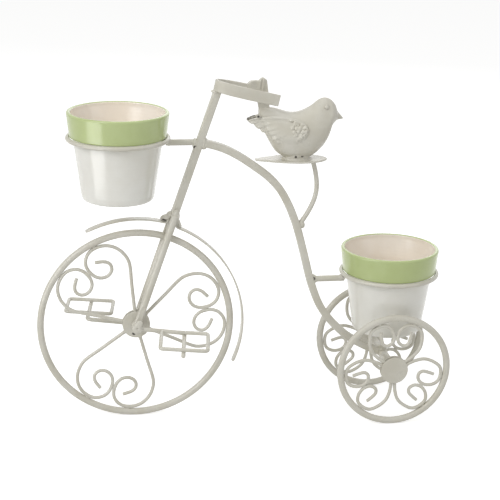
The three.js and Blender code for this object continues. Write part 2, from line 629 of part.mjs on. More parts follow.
function backboneCurve() {
  const points = BACKBONE_SHARES.map(([along, up]) => (
    new THREE.Vector3(jointPoint.x + along * backboneRun, 0, REAR_RADIUS + up * BACKBONE_DROP)
  ));
  return smooth(points, BACKBONE_STEPS);
}
const backboneStations = backboneCurve();

function backboneAt(height) {
  const index = backboneStations.findIndex((point) => point.z < height);
  const above = backboneStations[index - 1];
  const below = backboneStations[index];
  return above.clone().lerp(below, (above.z - height) / (above.z - below.z));
}
const fattenedBackbone = sweep(barShape(BAR + 2 * SEAT_GAP, BAR_CHAMFER), backboneStations);
const axleCutter = sweep(barShape(BAR + 2 * SEAT_GAP, BAR_CHAMFER), axleEnds).applyMatrix4(rearAxlePlace);
place(stand, 'backbone', cut(sweep(barShape(BAR, BAR_CHAMFER), backboneStations), fattenedStem, axleCutter));

// Rings that carry the pots, each on an arm under its edge
function addRing(name, x, height) {
  const ring = place(stand, name, hoop(RING_RADIUS, RING_WIRE, RING_SEGMENTS));
  ring.position.set(x, 0, height);
  ring.rotation.x = Math.PI / 2;
}
addRing('front_pot_ring', FRONT_POT_X, FRONT_RING_HEIGHT);
addRing('rear_pot_ring', REAR_POT_X, REAR_RING_HEIGHT);

function arm(fromX, toX, height) {
  const ends = [new THREE.Vector3(fromX, 0, height), new THREE.Vector3(toX, 0, height)];
  return sweep(polygonShape(ARM_DIAMETER / 2, PLATE_SEGMENTS / 2), ends);
}
const frontArmHeight = FRONT_RING_HEIGHT - ARM_DROP;
const rearArmHeight = REAR_RING_HEIGHT - ARM_DROP;
const ringInnerRadius = RING_RADIUS - RING_WIRE / 2;
const stemAtArm = onStem((frontArmHeight - FRONT_RADIUS) / Math.cos(radians(STEM_LEAN)));
const backboneAtArm = backboneAt(rearArmHeight);
place(stand, 'front_pot_arm', cut(arm(FRONT_POT_X + ringInnerRadius, stemAtArm.x, frontArmHeight), fattenedStem));
place(stand, 'rear_pot_arm', cut(arm(backboneAtArm.x, REAR_POT_X - ringInnerRadius, rearArmHeight), fattenedBackbone));

// Saddle: a flat drop-shaped plate, nose to the front
const saddleX = FRONT_X + SADDLE_NOSE_SETBACK;

function saddlePlate(thickness) {
  const side = SADDLE_SHARES.map(([along, out]) => [along * SADDLE_LENGTH, out * SADDLE_WIDTH / 2]);
  const outline = new THREE.Shape();
  const nose = [side[0][0], -side[0][1]];
  outline.moveTo(...nose);
  outline.splineThru(side.slice(1).map(([x, y]) => new THREE.Vector2(x, -y)));
  outline.splineThru([[SADDLE_LENGTH, 0], ...side.toReversed()].map(([x, y]) => new THREE.Vector2(x, y)));
  outline.closePath();
  const geometry = new THREE.ExtrudeGeometry(outline, { depth: thickness, bevelEnabled: false, curveSegments: 1 });
  return geometry.translate(saddleX, 0, SADDLE_HEIGHT - (SADDLE_THICKNESS + thickness) / 2);
}
place(stand, 'saddle', saddlePlate(SADDLE_THICKNESS));

const postTop = new THREE.Vector3(saddleX + POST_SETBACK, 0, SADDLE_HEIGHT - SADDLE_THICKNESS);
const postFoot = backboneAt(POST_FOOT_HEIGHT);
const postAcross = new THREE.Vector3(postTop.z - postFoot.z, 0, postFoot.x - postTop.x).normalize();
const postStations = smooth([
  postTop,
  ...POST_SHARES.map(([down, out]) => (
    postTop.clone().lerp(postFoot, down).addScaledVector(postAcross, out * POST_BULGE)
  )),
  postFoot,
], POST_STEPS);
place(stand, 'saddle_post', cut(
  sweep(polygonShape(POST_DIAMETER / 2, ROD_SIDES), postStations),
  saddlePlate(SADDLE_THICKNESS + 2 * SEAT_GAP),
  fattenedBackbone,
));

// Bird: its body is a loft of egg-shaped sections along the tricycle, beak to the rear
const birdPlace = subgroup(stand, saddleX + BIRD_TAIL_ROOT_SETBACK, 0, SADDLE_HEIGHT + SEAT_GAP);

function birdSection(row, grow) {
  const [along, under, back, half] = row;
  const middle = (under + back) / 2 * BIRD_HEIGHT;
  const tall = (back - under) / 2 * BIRD_HEIGHT + grow;
  const wide = half * BIRD_WIDTH + grow;
  const ring = [];
  const count = 16;
  for (let step = 0; step < count; step += 1) {
    const angle = (step + 1 / 2) * 2 * Math.PI / count;
    const up = Math.sin(angle);
    const out = Math.cos(angle) * (1 - BIRD_TAPER_SHARE * up);
    ring.push(new THREE.Vector3(along * BIRD_LENGTH, out * wide, middle + up * tall));
  }
  return ring;
}

function birdBody(grow) {
  return loft(BIRD_SHARES.map((row) => birdSection(row, grow)));
}

// Half width of the bird at a place along it and a height, both in millimetres
function birdHalfWidth(x, z) {
  const share = THREE.MathUtils.clamp(x / BIRD_LENGTH, 0, 1);
  const index = Math.max(1, BIRD_SHARES.findIndex((row) => row[0] >= share));
  const [before, after] = [BIRD_SHARES[index - 1], BIRD_SHARES[index]];
  const mix = (share - before[0]) / (after[0] - before[0]);
  const [, under, back, half] = before.map((value, column) => THREE.MathUtils.lerp(value, after[column], mix));
  const middle = (under + back) / 2 * BIRD_HEIGHT;
  const up = THREE.MathUtils.clamp((z - middle) / ((back - under) / 2 * BIRD_HEIGHT), -1, 1);
  return half * BIRD_WIDTH * Math.sqrt(1 - up * up) * (1 - BIRD_TAPER_SHARE * up);
}
place(birdPlace, 'bird_body', birdBody(0));
const grownBird = birdBody(SEAT_GAP);

const tailOutline = new THREE.Shape(TAIL_SHARES.map(([along, up]) => (
  new THREE.Vector2(along * TAIL_LENGTH - TAIL_OVERHANG, up * TAIL_RISE)
)));
const tailBlank = new THREE.ExtrudeGeometry(tailOutline, { depth: TAIL_THICKNESS, bevelEnabled: false });
tailBlank.translate(0, 0, -TAIL_THICKNESS / 2).rotateX(Math.PI / 2);
place(birdPlace, 'bird_tail', cut(tailBlank, grownBird));

// Each wing is a sheet that lies on the flank; the two tips run on together under the tail
function wing(side) {
  const rows = 4;
  const rings = WING_SHARES.map(([along, low, high, seat]) => {
    const x = along * BIRD_LENGTH;
    const inner = [];
    const outer = [];
    for (let row = 0; row <= rows; row += 1) {
      const z = THREE.MathUtils.lerp(low, high, row / rows) * BIRD_HEIGHT;
      const stand = Math.max(birdHalfWidth(x, z), seat * BIRD_WIDTH / 2) + SEAT_GAP;
      inner.push(new THREE.Vector3(x, side * stand, z));
      outer.push(new THREE.Vector3(x, side * (stand + WING_SHEET), z));
    }
    const ring = [...inner, ...outer.reverse()];
    return side === LEFT ? ring : ring.reverse();
  });
  return loft(rings);
}
place(birdPlace, 'bird_left_wing', cut(wing(LEFT), grownBird));
place(birdPlace, 'bird_right_wing', cut(wing(RIGHT), grownBird));

for (const [side, label] of [[LEFT, 'left'], [RIGHT, 'right']]) {
  const eyeX = EYE_SHARES[0] * BIRD_LENGTH;
  const eyeZ = EYE_SHARES[1] * BIRD_HEIGHT;
  const eye = new THREE.SphereGeometry(EYE_RADIUS, 10, 6);
  eye.translate(eyeX, side * birdHalfWidth(eyeX, eyeZ), eyeZ);
  place(birdPlace, `bird_${label}_eye`, cut(eye, grownBird));
}

// Pots, turned about their axis: a body, a wider collar that rests on the ring, and a hollow
function pot() {
  const collarFoot = POT_HEIGHT - POT_COLLAR_HEIGHT;
  const slope = (POT_BODY_RADIUS - POT_BASE_RADIUS) / collarFoot;
  const profile = [
    [0, 0],
    [POT_BASE_RADIUS - POT_EDGE, 0],
    [POT_BASE_RADIUS, POT_EDGE],
    [POT_BODY_RADIUS, collarFoot],
    [POT_COLLAR_FOOT_RADIUS, collarFoot],
    [POT_RIM_RADIUS, POT_HEIGHT - POT_EDGE],
    [POT_RIM_RADIUS - POT_EDGE, POT_HEIGHT],
    [POT_RIM_RADIUS - POT_WALL + POT_EDGE, POT_HEIGHT],
    [POT_RIM_RADIUS - POT_WALL, POT_HEIGHT - POT_EDGE],
    [POT_BODY_RADIUS - POT_WALL, collarFoot],
    [POT_BASE_RADIUS - POT_WALL + slope * POT_FLOOR, POT_FLOOR],
    [0, POT_FLOOR],
  ];
  const turned = new THREE.LatheGeometry(profile.map((p) => new THREE.Vector2(...p)), POT_SEGMENTS);
  return turned.rotateX(Math.PI / 2);
}
place(stand, 'front_pot', pot(), GLAZE).position.set(FRONT_POT_X, 0, FRONT_POT_BASE);
place(stand, 'rear_pot', pot(), GLAZE).position.set(REAR_POT_X, 0, REAR_POT_BASE);

export default stand;
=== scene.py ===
"""Dress the tricycle planter: painted wire wheels, a welded frame, a sheet-metal bird and glazed pots.

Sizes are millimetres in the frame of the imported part: the front wheel at -X, the tricycle's left side
at -Y, the ground at Z = 0. Meshes are made in metres.
"""
import logging
import math
from collections.abc import Callable, Iterator, Sequence
from contextlib import contextmanager
from dataclasses import dataclass
from enum import Enum

import bmesh
import bpy
from bpy.types import Material, NodeSocket, Object, ShaderNode, ShaderNodeTree
from mathutils import Matrix, Vector, noise
from mathutils.kdtree import KDTree


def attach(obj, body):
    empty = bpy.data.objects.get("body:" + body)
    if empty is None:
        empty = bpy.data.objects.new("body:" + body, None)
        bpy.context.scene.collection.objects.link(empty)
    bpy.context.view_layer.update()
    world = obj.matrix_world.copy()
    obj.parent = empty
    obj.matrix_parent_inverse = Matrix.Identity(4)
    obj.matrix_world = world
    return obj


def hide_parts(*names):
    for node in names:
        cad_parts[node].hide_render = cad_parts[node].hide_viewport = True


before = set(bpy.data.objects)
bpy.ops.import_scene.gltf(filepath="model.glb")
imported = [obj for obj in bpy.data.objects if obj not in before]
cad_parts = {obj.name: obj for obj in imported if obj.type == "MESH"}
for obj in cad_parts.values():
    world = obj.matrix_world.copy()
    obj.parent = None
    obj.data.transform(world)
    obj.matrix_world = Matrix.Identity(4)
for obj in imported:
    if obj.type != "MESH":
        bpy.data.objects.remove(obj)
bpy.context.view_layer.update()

LOG = logging.getLogger("planter")
MM = 0.001
MERGE_WITHIN = 1e-6
CURVE_STEPS = 24
# Welded pieces lie this far apart in the solids.
SEAT_GAP = 0.3
X_AXIS, Y_AXIS, Z_AXIS = Vector((1, 0, 0)), Vector((0, 1, 0)), Vector((0, 0, 1))
Ring = list[Vector]
Point = tuple[float, float]
Place = tuple[float, float, float]
Rgba = tuple[float, float, float, float]
Shares = Sequence[tuple[float, ...]]

# Where the pots hang, how far apart the rear wheels' middles are, and the scrolls' lobes as shares.
FRONT_POT_X = -132.3
REAR_POT_X = 159.3
REAR_TRACK = 107.0
FRONT_LOBES: Shares = (
    (0.36, 0.232), (0.592, 0.391), (0.684, 0.41), (0.765, 0.404), (0.837, 0.377), (0.902, 0.326),
    (0.95, 0.244), (0.964, 0.144), (0.923, 0.055), (0.86, 0.012), (0.785, 0), (0.71, 0.012),
    (0.656, 0.049), (0.6255, 0.122), (0.65, 0.195), (0.712, 0.224), (0.769, 0.2), (0.836, 0.112),
)
REAR_LOBES: Shares = (
    (0.305, 0.365), (0.439, 0.471), (0.639, 0.511), (0.82, 0.48), (0.92, 0.356), (0.954, 0.204),
    (0.887, 0.083), (0.79, 0.02), (0.69, 0), (0.575, 0.035), (0.513, 0.14), (0.55, 0.225),
    (0.65, 0.262), (0.796, 0.289),
)


class Body(Enum):
    """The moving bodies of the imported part."""

    FRAME = "frame"
    FRONT_WHEEL = "front_wheel"
    LEFT_REAR_WHEEL = "left_rear_wheel"
    RIGHT_REAR_WHEEL = "right_rear_wheel"
    FRONT_POT = "front_pot"
    REAR_POT = "rear_pot"


class Slot(Enum):
    """The material slots."""

    PAINT = "paint"
    GLAZE = "glaze"


class Side(Enum):
    """A side of the tricycle, by the sign of Y."""

    LEFT = -1
    RIGHT = 1

    @property
    def label(self) -> str:
        """The side's name in lower case."""
        return self.name.lower()


class WireStart(Enum):
    """How a wheel's scroll wires leave the hub."""

    RADIAL = "straight out"
    EDGE = "side by side with the next heart's wire"


# Selecting and editing


def select_only(*pieces: Object) -> None:
    """Select these pieces alone, and make the first one active.

    Args:
        pieces: The pieces to select.
    """
    bpy.ops.object.select_all(action="DESELECT")
    for piece in pieces:
        piece.select_set(True)
    bpy.context.view_layer.objects.active = pieces[0] if pieces else None


@contextmanager
def editing(piece: Object) -> Iterator[bmesh.types.BMesh]:
    """Hold a piece in edit mode.

    Args:
        piece: The piece to edit.

    Yields:
        Its mesh, open for selecting and moving.
    """
    select_only(piece)
    bpy.ops.object.mode_set(mode="EDIT")
    yield bmesh.from_edit_mesh(piece.data)
    bpy.ops.object.mode_set(mode="OBJECT")


def close_up() -> None:
    """Merge the doubles of the mesh in edit mode and turn its faces outwards."""
    bpy.ops.mesh.select_all(action="SELECT")
    bpy.ops.mesh.remove_doubles(threshold=MERGE_WITHIN)
    bpy.ops.mesh.select_all(action="SELECT")
    bpy.ops.mesh.normals_make_consistent(inside=False)


def apply(piece: Object, kind: str, **settings: object) -> None:
    """Add a modifier to a piece and apply it.

    Args:
        piece: The piece to change.
        kind: The modifier's type.
        settings: The modifier's own settings.
    """
    select_only(piece)
    modifier = piece.modifiers.new("Step", kind)
    for key, value in settings.items():
        setattr(modifier, key, value)
    bpy.ops.object.modifier_apply(modifier=modifier.name)


# Routes and sections


def eased(share: float) -> float:
    """Ease a share between 0 and 1 at both its ends."""
    held = max(0.0, min(1.0, share))
    return held * held * (3 - 2 * held)


def spaced(points: Ring, steps: int) -> Ring:
    """Space stations evenly along a line of points.

    Args:
        points: The line's points.
        steps: How many equal steps to make.

    Returns:
        The stations, one more than the steps.
    """
    reach = [0.0]
    for before, here in zip(points, points[1:]):
        reach.append(reach[-1] + (here - before).length)
    stations, index = [], 0
    for step in range(steps + 1):
        wanted = reach[-1] * step / steps
        while index < len(points) - 2 and reach[index + 1] < wanted:
            index += 1
        span = max(reach[index + 1] - reach[index], 1e-9)
        stations.append(points[index].lerp(points[index + 1], min((wanted - reach[index]) / span, 1.0)))
    return stations


def smooth_route(points: Ring, steps: int) -> Ring:
    """Run a centripetal curve through points, with its stations spaced evenly.

    Args:
        points: The points to pass through, of any dimension.
        steps: How many equal steps to make.

    Returns:
        The stations.
    """
    held = [points[0] * 2 - points[1], *points, points[-1] * 2 - points[-2]]
    fine = [points[0].copy()]
    for before, start, end, after in zip(held, held[1:], held[2:], held[3:]):
        a, b, c = (math.sqrt((q - p).length) for p, q in ((before, start), (start, end), (end, after)))
        leave = ((start - before) / a - (end - before) / (a + b) + (end - start) / b) * b
        arrive = ((end - start) / b - (after - start) / (b + c) + (after - end) / c) * b
        for step in range(1, CURVE_STEPS + 1):
            t = step / CURVE_STEPS
            fine.append(
                start * (2 * t**3 - 3 * t**2 + 1) + leave * (t**3 - 2 * t**2 + t)
                + end * (3 * t**2 - 2 * t**3) + arrive * (t**3 - t**2)
            )
    return spaced(fine, steps)


def bent_corner(corner: Vector, back: Vector, onward: Vector, radius: float, steps: int = 8) -> Ring:
    """Round off the corner of a bent rod.

    Args:
        corner: Where the two straights would meet.
        back: Direction from the corner to the first straight.
        onward: Direction from the corner to the second straight.
        radius: The bend's radius.
        steps: How many steps the bend has.

    Returns:
        The bend's stations.
    """
    setback = radius / math.tan(back.angle(onward) / 2)
    start, end = corner + back * setback, corner + onward * setback
    bend = []
    for index in range(steps + 1):
        share = index / steps
        bend.append(start.lerp(corner, share).lerp(corner.lerp(end, share), share))
    return bend


def round_section(radius: float, sides: int = 16) -> list[Point]:
    """Outline a round wire's section."""
    turns = [math.tau * index / sides for index in range(sides)]
    return [(radius * math.cos(turn), radius * math.sin(turn)) for turn in turns]


def bar_section(width: float, height: float, corner: float, steps: int = 4) -> list[Point]:
    """Outline a bar's section with rounded corners.

    Args:
        width: The full width, across the route's plane.
        height: The full height, in the route's plane.
        corner: The corners' radius.
        steps: How many steps each corner has.

    Returns:
        The outline's points.
    """
    points = []
    for quarter, (sx, sy) in enumerate(((1, 1), (-1, 1), (-1, -1), (1, -1))):
        for step in range(steps + 1):
            angle = math.pi / 2 * (quarter + step / steps)
            across = sx * (width / 2 - corner) + corner * math.cos(angle)
            points.append((across, sy * (height / 2 - corner) + corner * math.sin(angle)))
    return points


def washer_section(bore: float, radius: float, low: float, high: float, soft: float) -> list[Point]:
    """Outline half a washer's section with its outer edges bevelled.

    Args:
        bore: The bore's radius.
        radius: The outer radius.
        low: Where the washer starts along its axis.
        high: Where it ends.
        soft: The bevel's size.

    Returns:
        The outline's points: from the axis, then along it.
    """
    lower = [(bore, low), (radius - soft, low), (radius, low + soft)]
    return [*lower, (radius, high - soft), (radius - soft, high), (bore, high)]


# Making meshes


def skin(name: str, rings: Sequence[Ring]) -> Object:
    """Extrude a closed outline from ring to ring, closed at both ends.

    Args:
        name: The piece's name.
        rings: The outlines in order, each with the same number of points, in millimetres.

    Returns:
        The new piece.
    """
    select_only()
    bpy.ops.mesh.primitive_circle_add(vertices=len(rings[0]), radius=MM, fill_type="NGON")
    piece = bpy.context.object
    piece.name = name
    with editing(piece) as mesh:
        for vert, place in zip(mesh.verts, rings[0]):
            vert.co = place * MM
        keys = [vert.co.to_tuple() for vert in mesh.verts]
        for ring in rings[1:]:
            bpy.ops.mesh.extrude_region()
            moved = {vert.co.to_tuple(): vert for vert in mesh.verts if vert.select}
            following = []
            for key, place in zip(keys, ring):
                moved[key].co = place * MM
                following.append(moved[key].co.to_tuple())
            keys = following
        bpy.ops.mesh.select_all(action="SELECT")
        bpy.ops.mesh.normals_make_consistent(inside=False)
    return piece


def spun(name: str, profile: Ring, steps: int, centre: Vector, axis: Vector, closed: bool = True) -> Object:
    """Spin a profile a full turn.

    Args:
        name: The piece's name.
        profile: The profile's points, in millimetres.
        steps: How many steps the turn has.
        centre: A point on the axis, in millimetres.
        axis: The axis's direction.
        closed: Whether the profile is a loop; an open one starts and ends on the axis.

    Returns:
        The new piece.
    """
    select_only()
    bpy.ops.mesh.primitive_circle_add(vertices=len(profile), radius=MM, fill_type="NOTHING")
    piece = bpy.context.object
    piece.name = name
    with editing(piece) as mesh:
        mesh.verts.ensure_lookup_table()
        for vert, place in zip(mesh.verts, profile):
            vert.co = place * MM
        if not closed:
            ends = {0, len(profile) - 1}
            bpy.ops.mesh.select_all(action="DESELECT")
            seam = next(edge for edge in mesh.edges if {vert.index for vert in edge.verts} == ends)
            seam.select_set(True)
            bpy.ops.mesh.delete(type="EDGE")
        bpy.ops.mesh.select_all(action="SELECT")
        bpy.ops.mesh.spin(steps=steps, angle=math.tau, center=centre * MM, axis=axis)
        close_up()
    return piece


def swept(
    name: str,
    route: Ring,
    section: Sequence[Point],
    across: Vector,
    rounding: float = 0.6,
    shape: Callable[[float, float], Point] | None = None,
) -> Object:
    """Skin a bar or a wire along a flat route.

    Args:
        name: The piece's name.
        route: The stations, in millimetres.
        section: The section's points: across the route's plane, then in it.
        across: The normal of the route's plane.
        rounding: How far the ends are rounded.
        shape: Gives the section's two scales from the distances to the start and to the end.

    Returns:
        The new piece.
    """
    reach = max(math.hypot(*point) for point in section)
    first, last = route[0], route[-1]
    clear = rounding * 1.2
    inner = [here for here in route if min((here - first).length, (here - last).length) > clear]
    start_way, end_way = (inner[0] - first).normalized(), (last - inner[-1]).normalized()
    angles = [math.radians(a) for a in (90, 60, 30, 0)]
    caps = [(rounding * (1 - math.sin(a)), 1 - rounding / reach * (1 - math.cos(a))) for a in angles]
    places = [(first + start_way * inset, start_way, scale) for inset, scale in caps]
    for index, here in enumerate(inner):
        before, after = inner[max(index - 1, 0)], inner[min(index + 1, len(inner) - 1)]
        places.append((here, (after - before).normalized(), 1.0))
    places += [(last - end_way * inset, end_way, scale) for inset, scale in reversed(caps)]
    rings, run, total = [], 0.0, sum((b[0] - a[0]).length for a, b in zip(places, places[1:]))
    for index, (here, heading, scale) in enumerate(places):
        run += (here - places[index - 1][0]).length if index else 0.0
        wide, high = shape(run, total - run) if shape else (1.0, 1.0)
        out = heading.cross(across)
        rings.append([here + across * (u * scale * wide) + out * (v * scale * high) for u, v in section])
    return skin(name, rings)


def joined(name: str, parts: Sequence[Object]) -> Object:
    """Join pieces into one mesh.

    Args:
        name: The new name.
        parts: The pieces to join.

    Returns:
        The joined piece.
    """
    if len(parts) > 1:
        select_only(*parts)
        bpy.ops.object.join()
    parts[0].name = name
    return parts[0]


def fused(name: str, parts: Sequence[Object], voxel: float, passes: int = 4) -> Object:
    """Melt pieces into one skin, as weld and paint do.

    Args:
        name: The new name.
        parts: The pieces to melt together.
        voxel: The size of the new skin's faces, in millimetres.
        passes: How often the skin is smoothed.

    Returns:
        The fused piece.
    """
    piece = joined(name, parts)
    apply(piece, "REMESH", mode="VOXEL", voxel_size=voxel * MM, use_smooth_shade=True)
    if passes:
        apply(piece, "SMOOTH", factor=0.5, iterations=passes)
    return piece


def copied(source: Object, name: str, matrix: Matrix) -> Object:
    """Copy a modelled piece with its own mesh, set into place.

    Args:
        source: The piece to copy.
        name: The copy's name.
        matrix: Where the copy goes, in millimetres.

    Returns:
        The copy.
    """
    copy = source.copy()
    copy.data = source.data.copy()
    copy.name = name
    bpy.context.scene.collection.objects.link(copy)
    scaled = matrix.copy()
    scaled.translation = matrix.translation * MM
    copy.data.transform(scaled)
    if matrix.determinant() < 0:
        with editing(copy):
            close_up()
    return copy


def mark(piece: Object, attribute: str, value_at: Callable[[Vector], float]) -> None:
    """Write a value between 0 and 1 on each point of a mesh, for its material.

    Args:
        piece: The piece to mark.
        attribute: The attribute's name.
        value_at: Gives the value at a place, in millimetres.
    """
    layer = piece.data.attributes.get(attribute) or piece.data.attributes.new(attribute, "FLOAT", "POINT")
    values = [max(0.0, min(1.0, value_at(vert.co / MM))) for vert in piece.data.vertices]
    layer.data.foreach_set("value", values)


def push_along_normals(piece: Object, amount_at: Callable[[Vector], float]) -> None:
    """Move each point of a mesh along its normal.

    Args:
        piece: The piece to shape.
        amount_at: Gives the distance at a place, both in millimetres.
    """
    normals = [vert.normal.copy() for vert in piece.data.vertices]
    for vert, normal in zip(piece.data.vertices, normals):
        vert.co += normal * (amount_at(vert.co / MM) * MM)


# Materials


def tone(*levels: int) -> Rgba:
    """Turn a screen's red, green and blue levels into the linear colour that Blender keeps."""
    shares = [level / 255 for level in levels]
    return (*(v / 12.92 if v <= 0.04045 else ((v + 0.055) / 1.055) ** 2.4 for v in shares), 1.0)


class Wiring:
    """Adds nodes to one tree and joins their sockets."""

    def __init__(self, tree: ShaderNodeTree) -> None:
        """Take the tree to work on."""
        self.tree = tree

    def add(self, kind: str, settings: dict[str, object] | None = None, **sockets: object) -> ShaderNode:
        """Add a node.

        Args:
            kind: The node's type, without its ShaderNode prefix.
            settings: The node's own settings.
            sockets: Its inputs, by name with underscores for spaces: values, or sockets to link.

        Returns:
            The node.
        """
        node = self.tree.nodes.new("ShaderNode" + kind)
        for key, value in (settings or {}).items():
            setattr(node, key, value)
        for key, value in sockets.items():
            self.feed(node.inputs[key.replace("_", " ")], value)
        return node

    def feed(self, socket: NodeSocket, value: object) -> None:
        """Fill a socket.

        Args:
            socket: The socket to fill.
            value: Another socket to link to it, or a plain value.
        """
        if isinstance(value, NodeSocket):
            self.tree.links.new(value, socket)
        else:
            socket.default_value = value

    def math(self, operation: str, *values: object) -> NodeSocket:
        """Add a step of arithmetic.

        Args:
            operation: The operation's name.
            values: Its one to three values, plain ones or sockets.

        Returns:
            The result.
        """
        node = self.add("Math", {"operation": operation})
        for socket, value in zip(node.inputs, values):
            self.feed(socket, value)
        return node.outputs[0]

    def span(
        self, value: NodeSocket, low: float, high: float, to_low: float = 0.0, to_high: float = 1.0
    ) -> NodeSocket:
        """Map a value from one range to another, held inside it and eased at both ends.

        Args:
            value: The value to map.
            low: Where its range starts.
            high: Where its range ends.
            to_low: The result at the start.
            to_high: The result at the end.

        Returns:
            The result.
        """
        node = self.add(
            "MapRange", {"interpolation_type": "SMOOTHSTEP"},
            Value=value, From_Min=low, From_Max=high, To_Min=to_low, To_Max=to_high,
        )
        return node.outputs[0]

    def blend(self, share: NodeSocket, first: object, second: object) -> NodeSocket:
        """Blend two colours.

        Args:
            share: The second colour's share.
            first: The first colour.
            second: The second colour.

        Returns:
            The blend.
        """
        node = self.add("Mix", {"data_type": "RGBA"})
        for index, value in ((0, share), (6, first), (7, second)):
            self.feed(node.inputs[index], value)
        return node.outputs[2]

    def lay(self, colour: object, over: object, mask: NodeSocket, strength: float) -> NodeSocket:
        """Lay a colour over another one where a mask shows, at a share of its strength."""
        return self.blend(self.math("MULTIPLY", mask, strength), over, colour)

    def emboss(self, shader: ShaderNode, height: NodeSocket, depth: float) -> None:
        """Press a pattern of heights into a shader's surface, to a depth in millimetres."""
        bump = self.add("Bump", Strength=1.0, Distance=depth * MM, Height=height)
        self.feed(shader.inputs["Normal"], bump.outputs[0])

    def group(self, tree: ShaderNodeTree, **sockets: object) -> ShaderNode:
        """Place a node group, with its inputs by name."""
        return self.add("Group", {"node_tree": tree}, **sockets)


def new_group(
    name: str, inputs: dict[str, float], outputs: Sequence[str]
) -> tuple[Wiring, ShaderNode, ShaderNode]:
    """Start a shader node group whose inputs and outputs are all plain values.

    Args:
        name: The group's name.
        inputs: The inputs' names and starting values.
        outputs: The outputs' names.

    Returns:
        The group's wiring, its input node and its output node.
    """
    tree = bpy.data.node_groups.new(name, "ShaderNodeTree")
    for label, value in inputs.items():
        socket = tree.interface.new_socket(name=label, in_out="INPUT", socket_type="NodeSocketFloat")
        socket.default_value = value
    for label in outputs:
        tree.interface.new_socket(name=label, in_out="OUTPUT", socket_type="NodeSocketFloat")
    return Wiring(tree), tree.nodes.new("NodeGroupInput"), tree.nodes.new("NodeGroupOutput")


def sprayed_coat() -> ShaderNodeTree:
    """Build the group for an uneven coat: broad patches, fine peel and small nibs.

    Returns:
        The group.
    """
    scales = {"Patch Scale": 45.0, "Peel Scale": 700.0, "Nib Scale": 420.0}
    wiring, given, result = new_group("Sprayed coat", scales, ["Patch", "Peel", "Nibs"])
    given, place = given.outputs, wiring.add("TexCoord").outputs["Object"]
    patch = wiring.add("TexNoise", Vector=place, Scale=given["Patch Scale"], Detail=4.0, Roughness=0.55)
    peel = wiring.add("TexNoise", Vector=place, Scale=given["Peel Scale"], Detail=2.0, Roughness=0.5)
    nibs = wiring.add("TexVoronoi", {"feature": "F1"}, Vector=place, Scale=given["Nib Scale"])
    rare = wiring.add("TexNoise", Vector=place, Scale=160.0, Detail=1.0)
    near = wiring.span(nibs.outputs["Distance"], 0.05, 0.22, 1.0, 0.0)
    few = wiring.math("MULTIPLY", near, wiring.span(rare.outputs[0], 0.56, 0.66))
    wiring.feed(result.inputs["Patch"], wiring.span(patch.outputs[0], 0.32, 0.68))
    wiring.feed(result.inputs["Peel"], peel.outputs[0])
    wiring.feed(result.inputs["Nibs"], few)
    return wiring.tree


def painted_light_masks() -> ShaderNodeTree:
    """Build the group that finds a form's outer edges and its hollows, where painted highlights and painted
    shade go.

    Returns:
        The group.
    """
    wiring, given, result = new_group("Painted light masks", {"Spread": 0.06}, ["Edge", "Hollow"])
    bend = wiring.add("NewGeometry").outputs["Pointiness"]
    share = wiring.math("DIVIDE", wiring.math("SUBTRACT", bend, 0.5), given.outputs["Spread"])
    wiring.feed(result.inputs["Edge"], wiring.span(share, 0.15, 1.0))
    wiring.feed(result.inputs["Hollow"], wiring.span(share, -0.15, -1.0))
    return wiring.tree


def new_material(name: str) -> tuple[Wiring, ShaderNode]:
    """Start a material.

    Args:
        name: The material's name.

    Returns:
        Its wiring and its shader.
    """
    material = bpy.data.materials.new(name)
    material.use_nodes = True
    return Wiring(material.node_tree), material.node_tree.nodes["Principled BSDF"]


@dataclass(frozen=True)
class Coat:
    """A finish: a material slot and the material that fills it."""

    slot: Slot
    material: Material


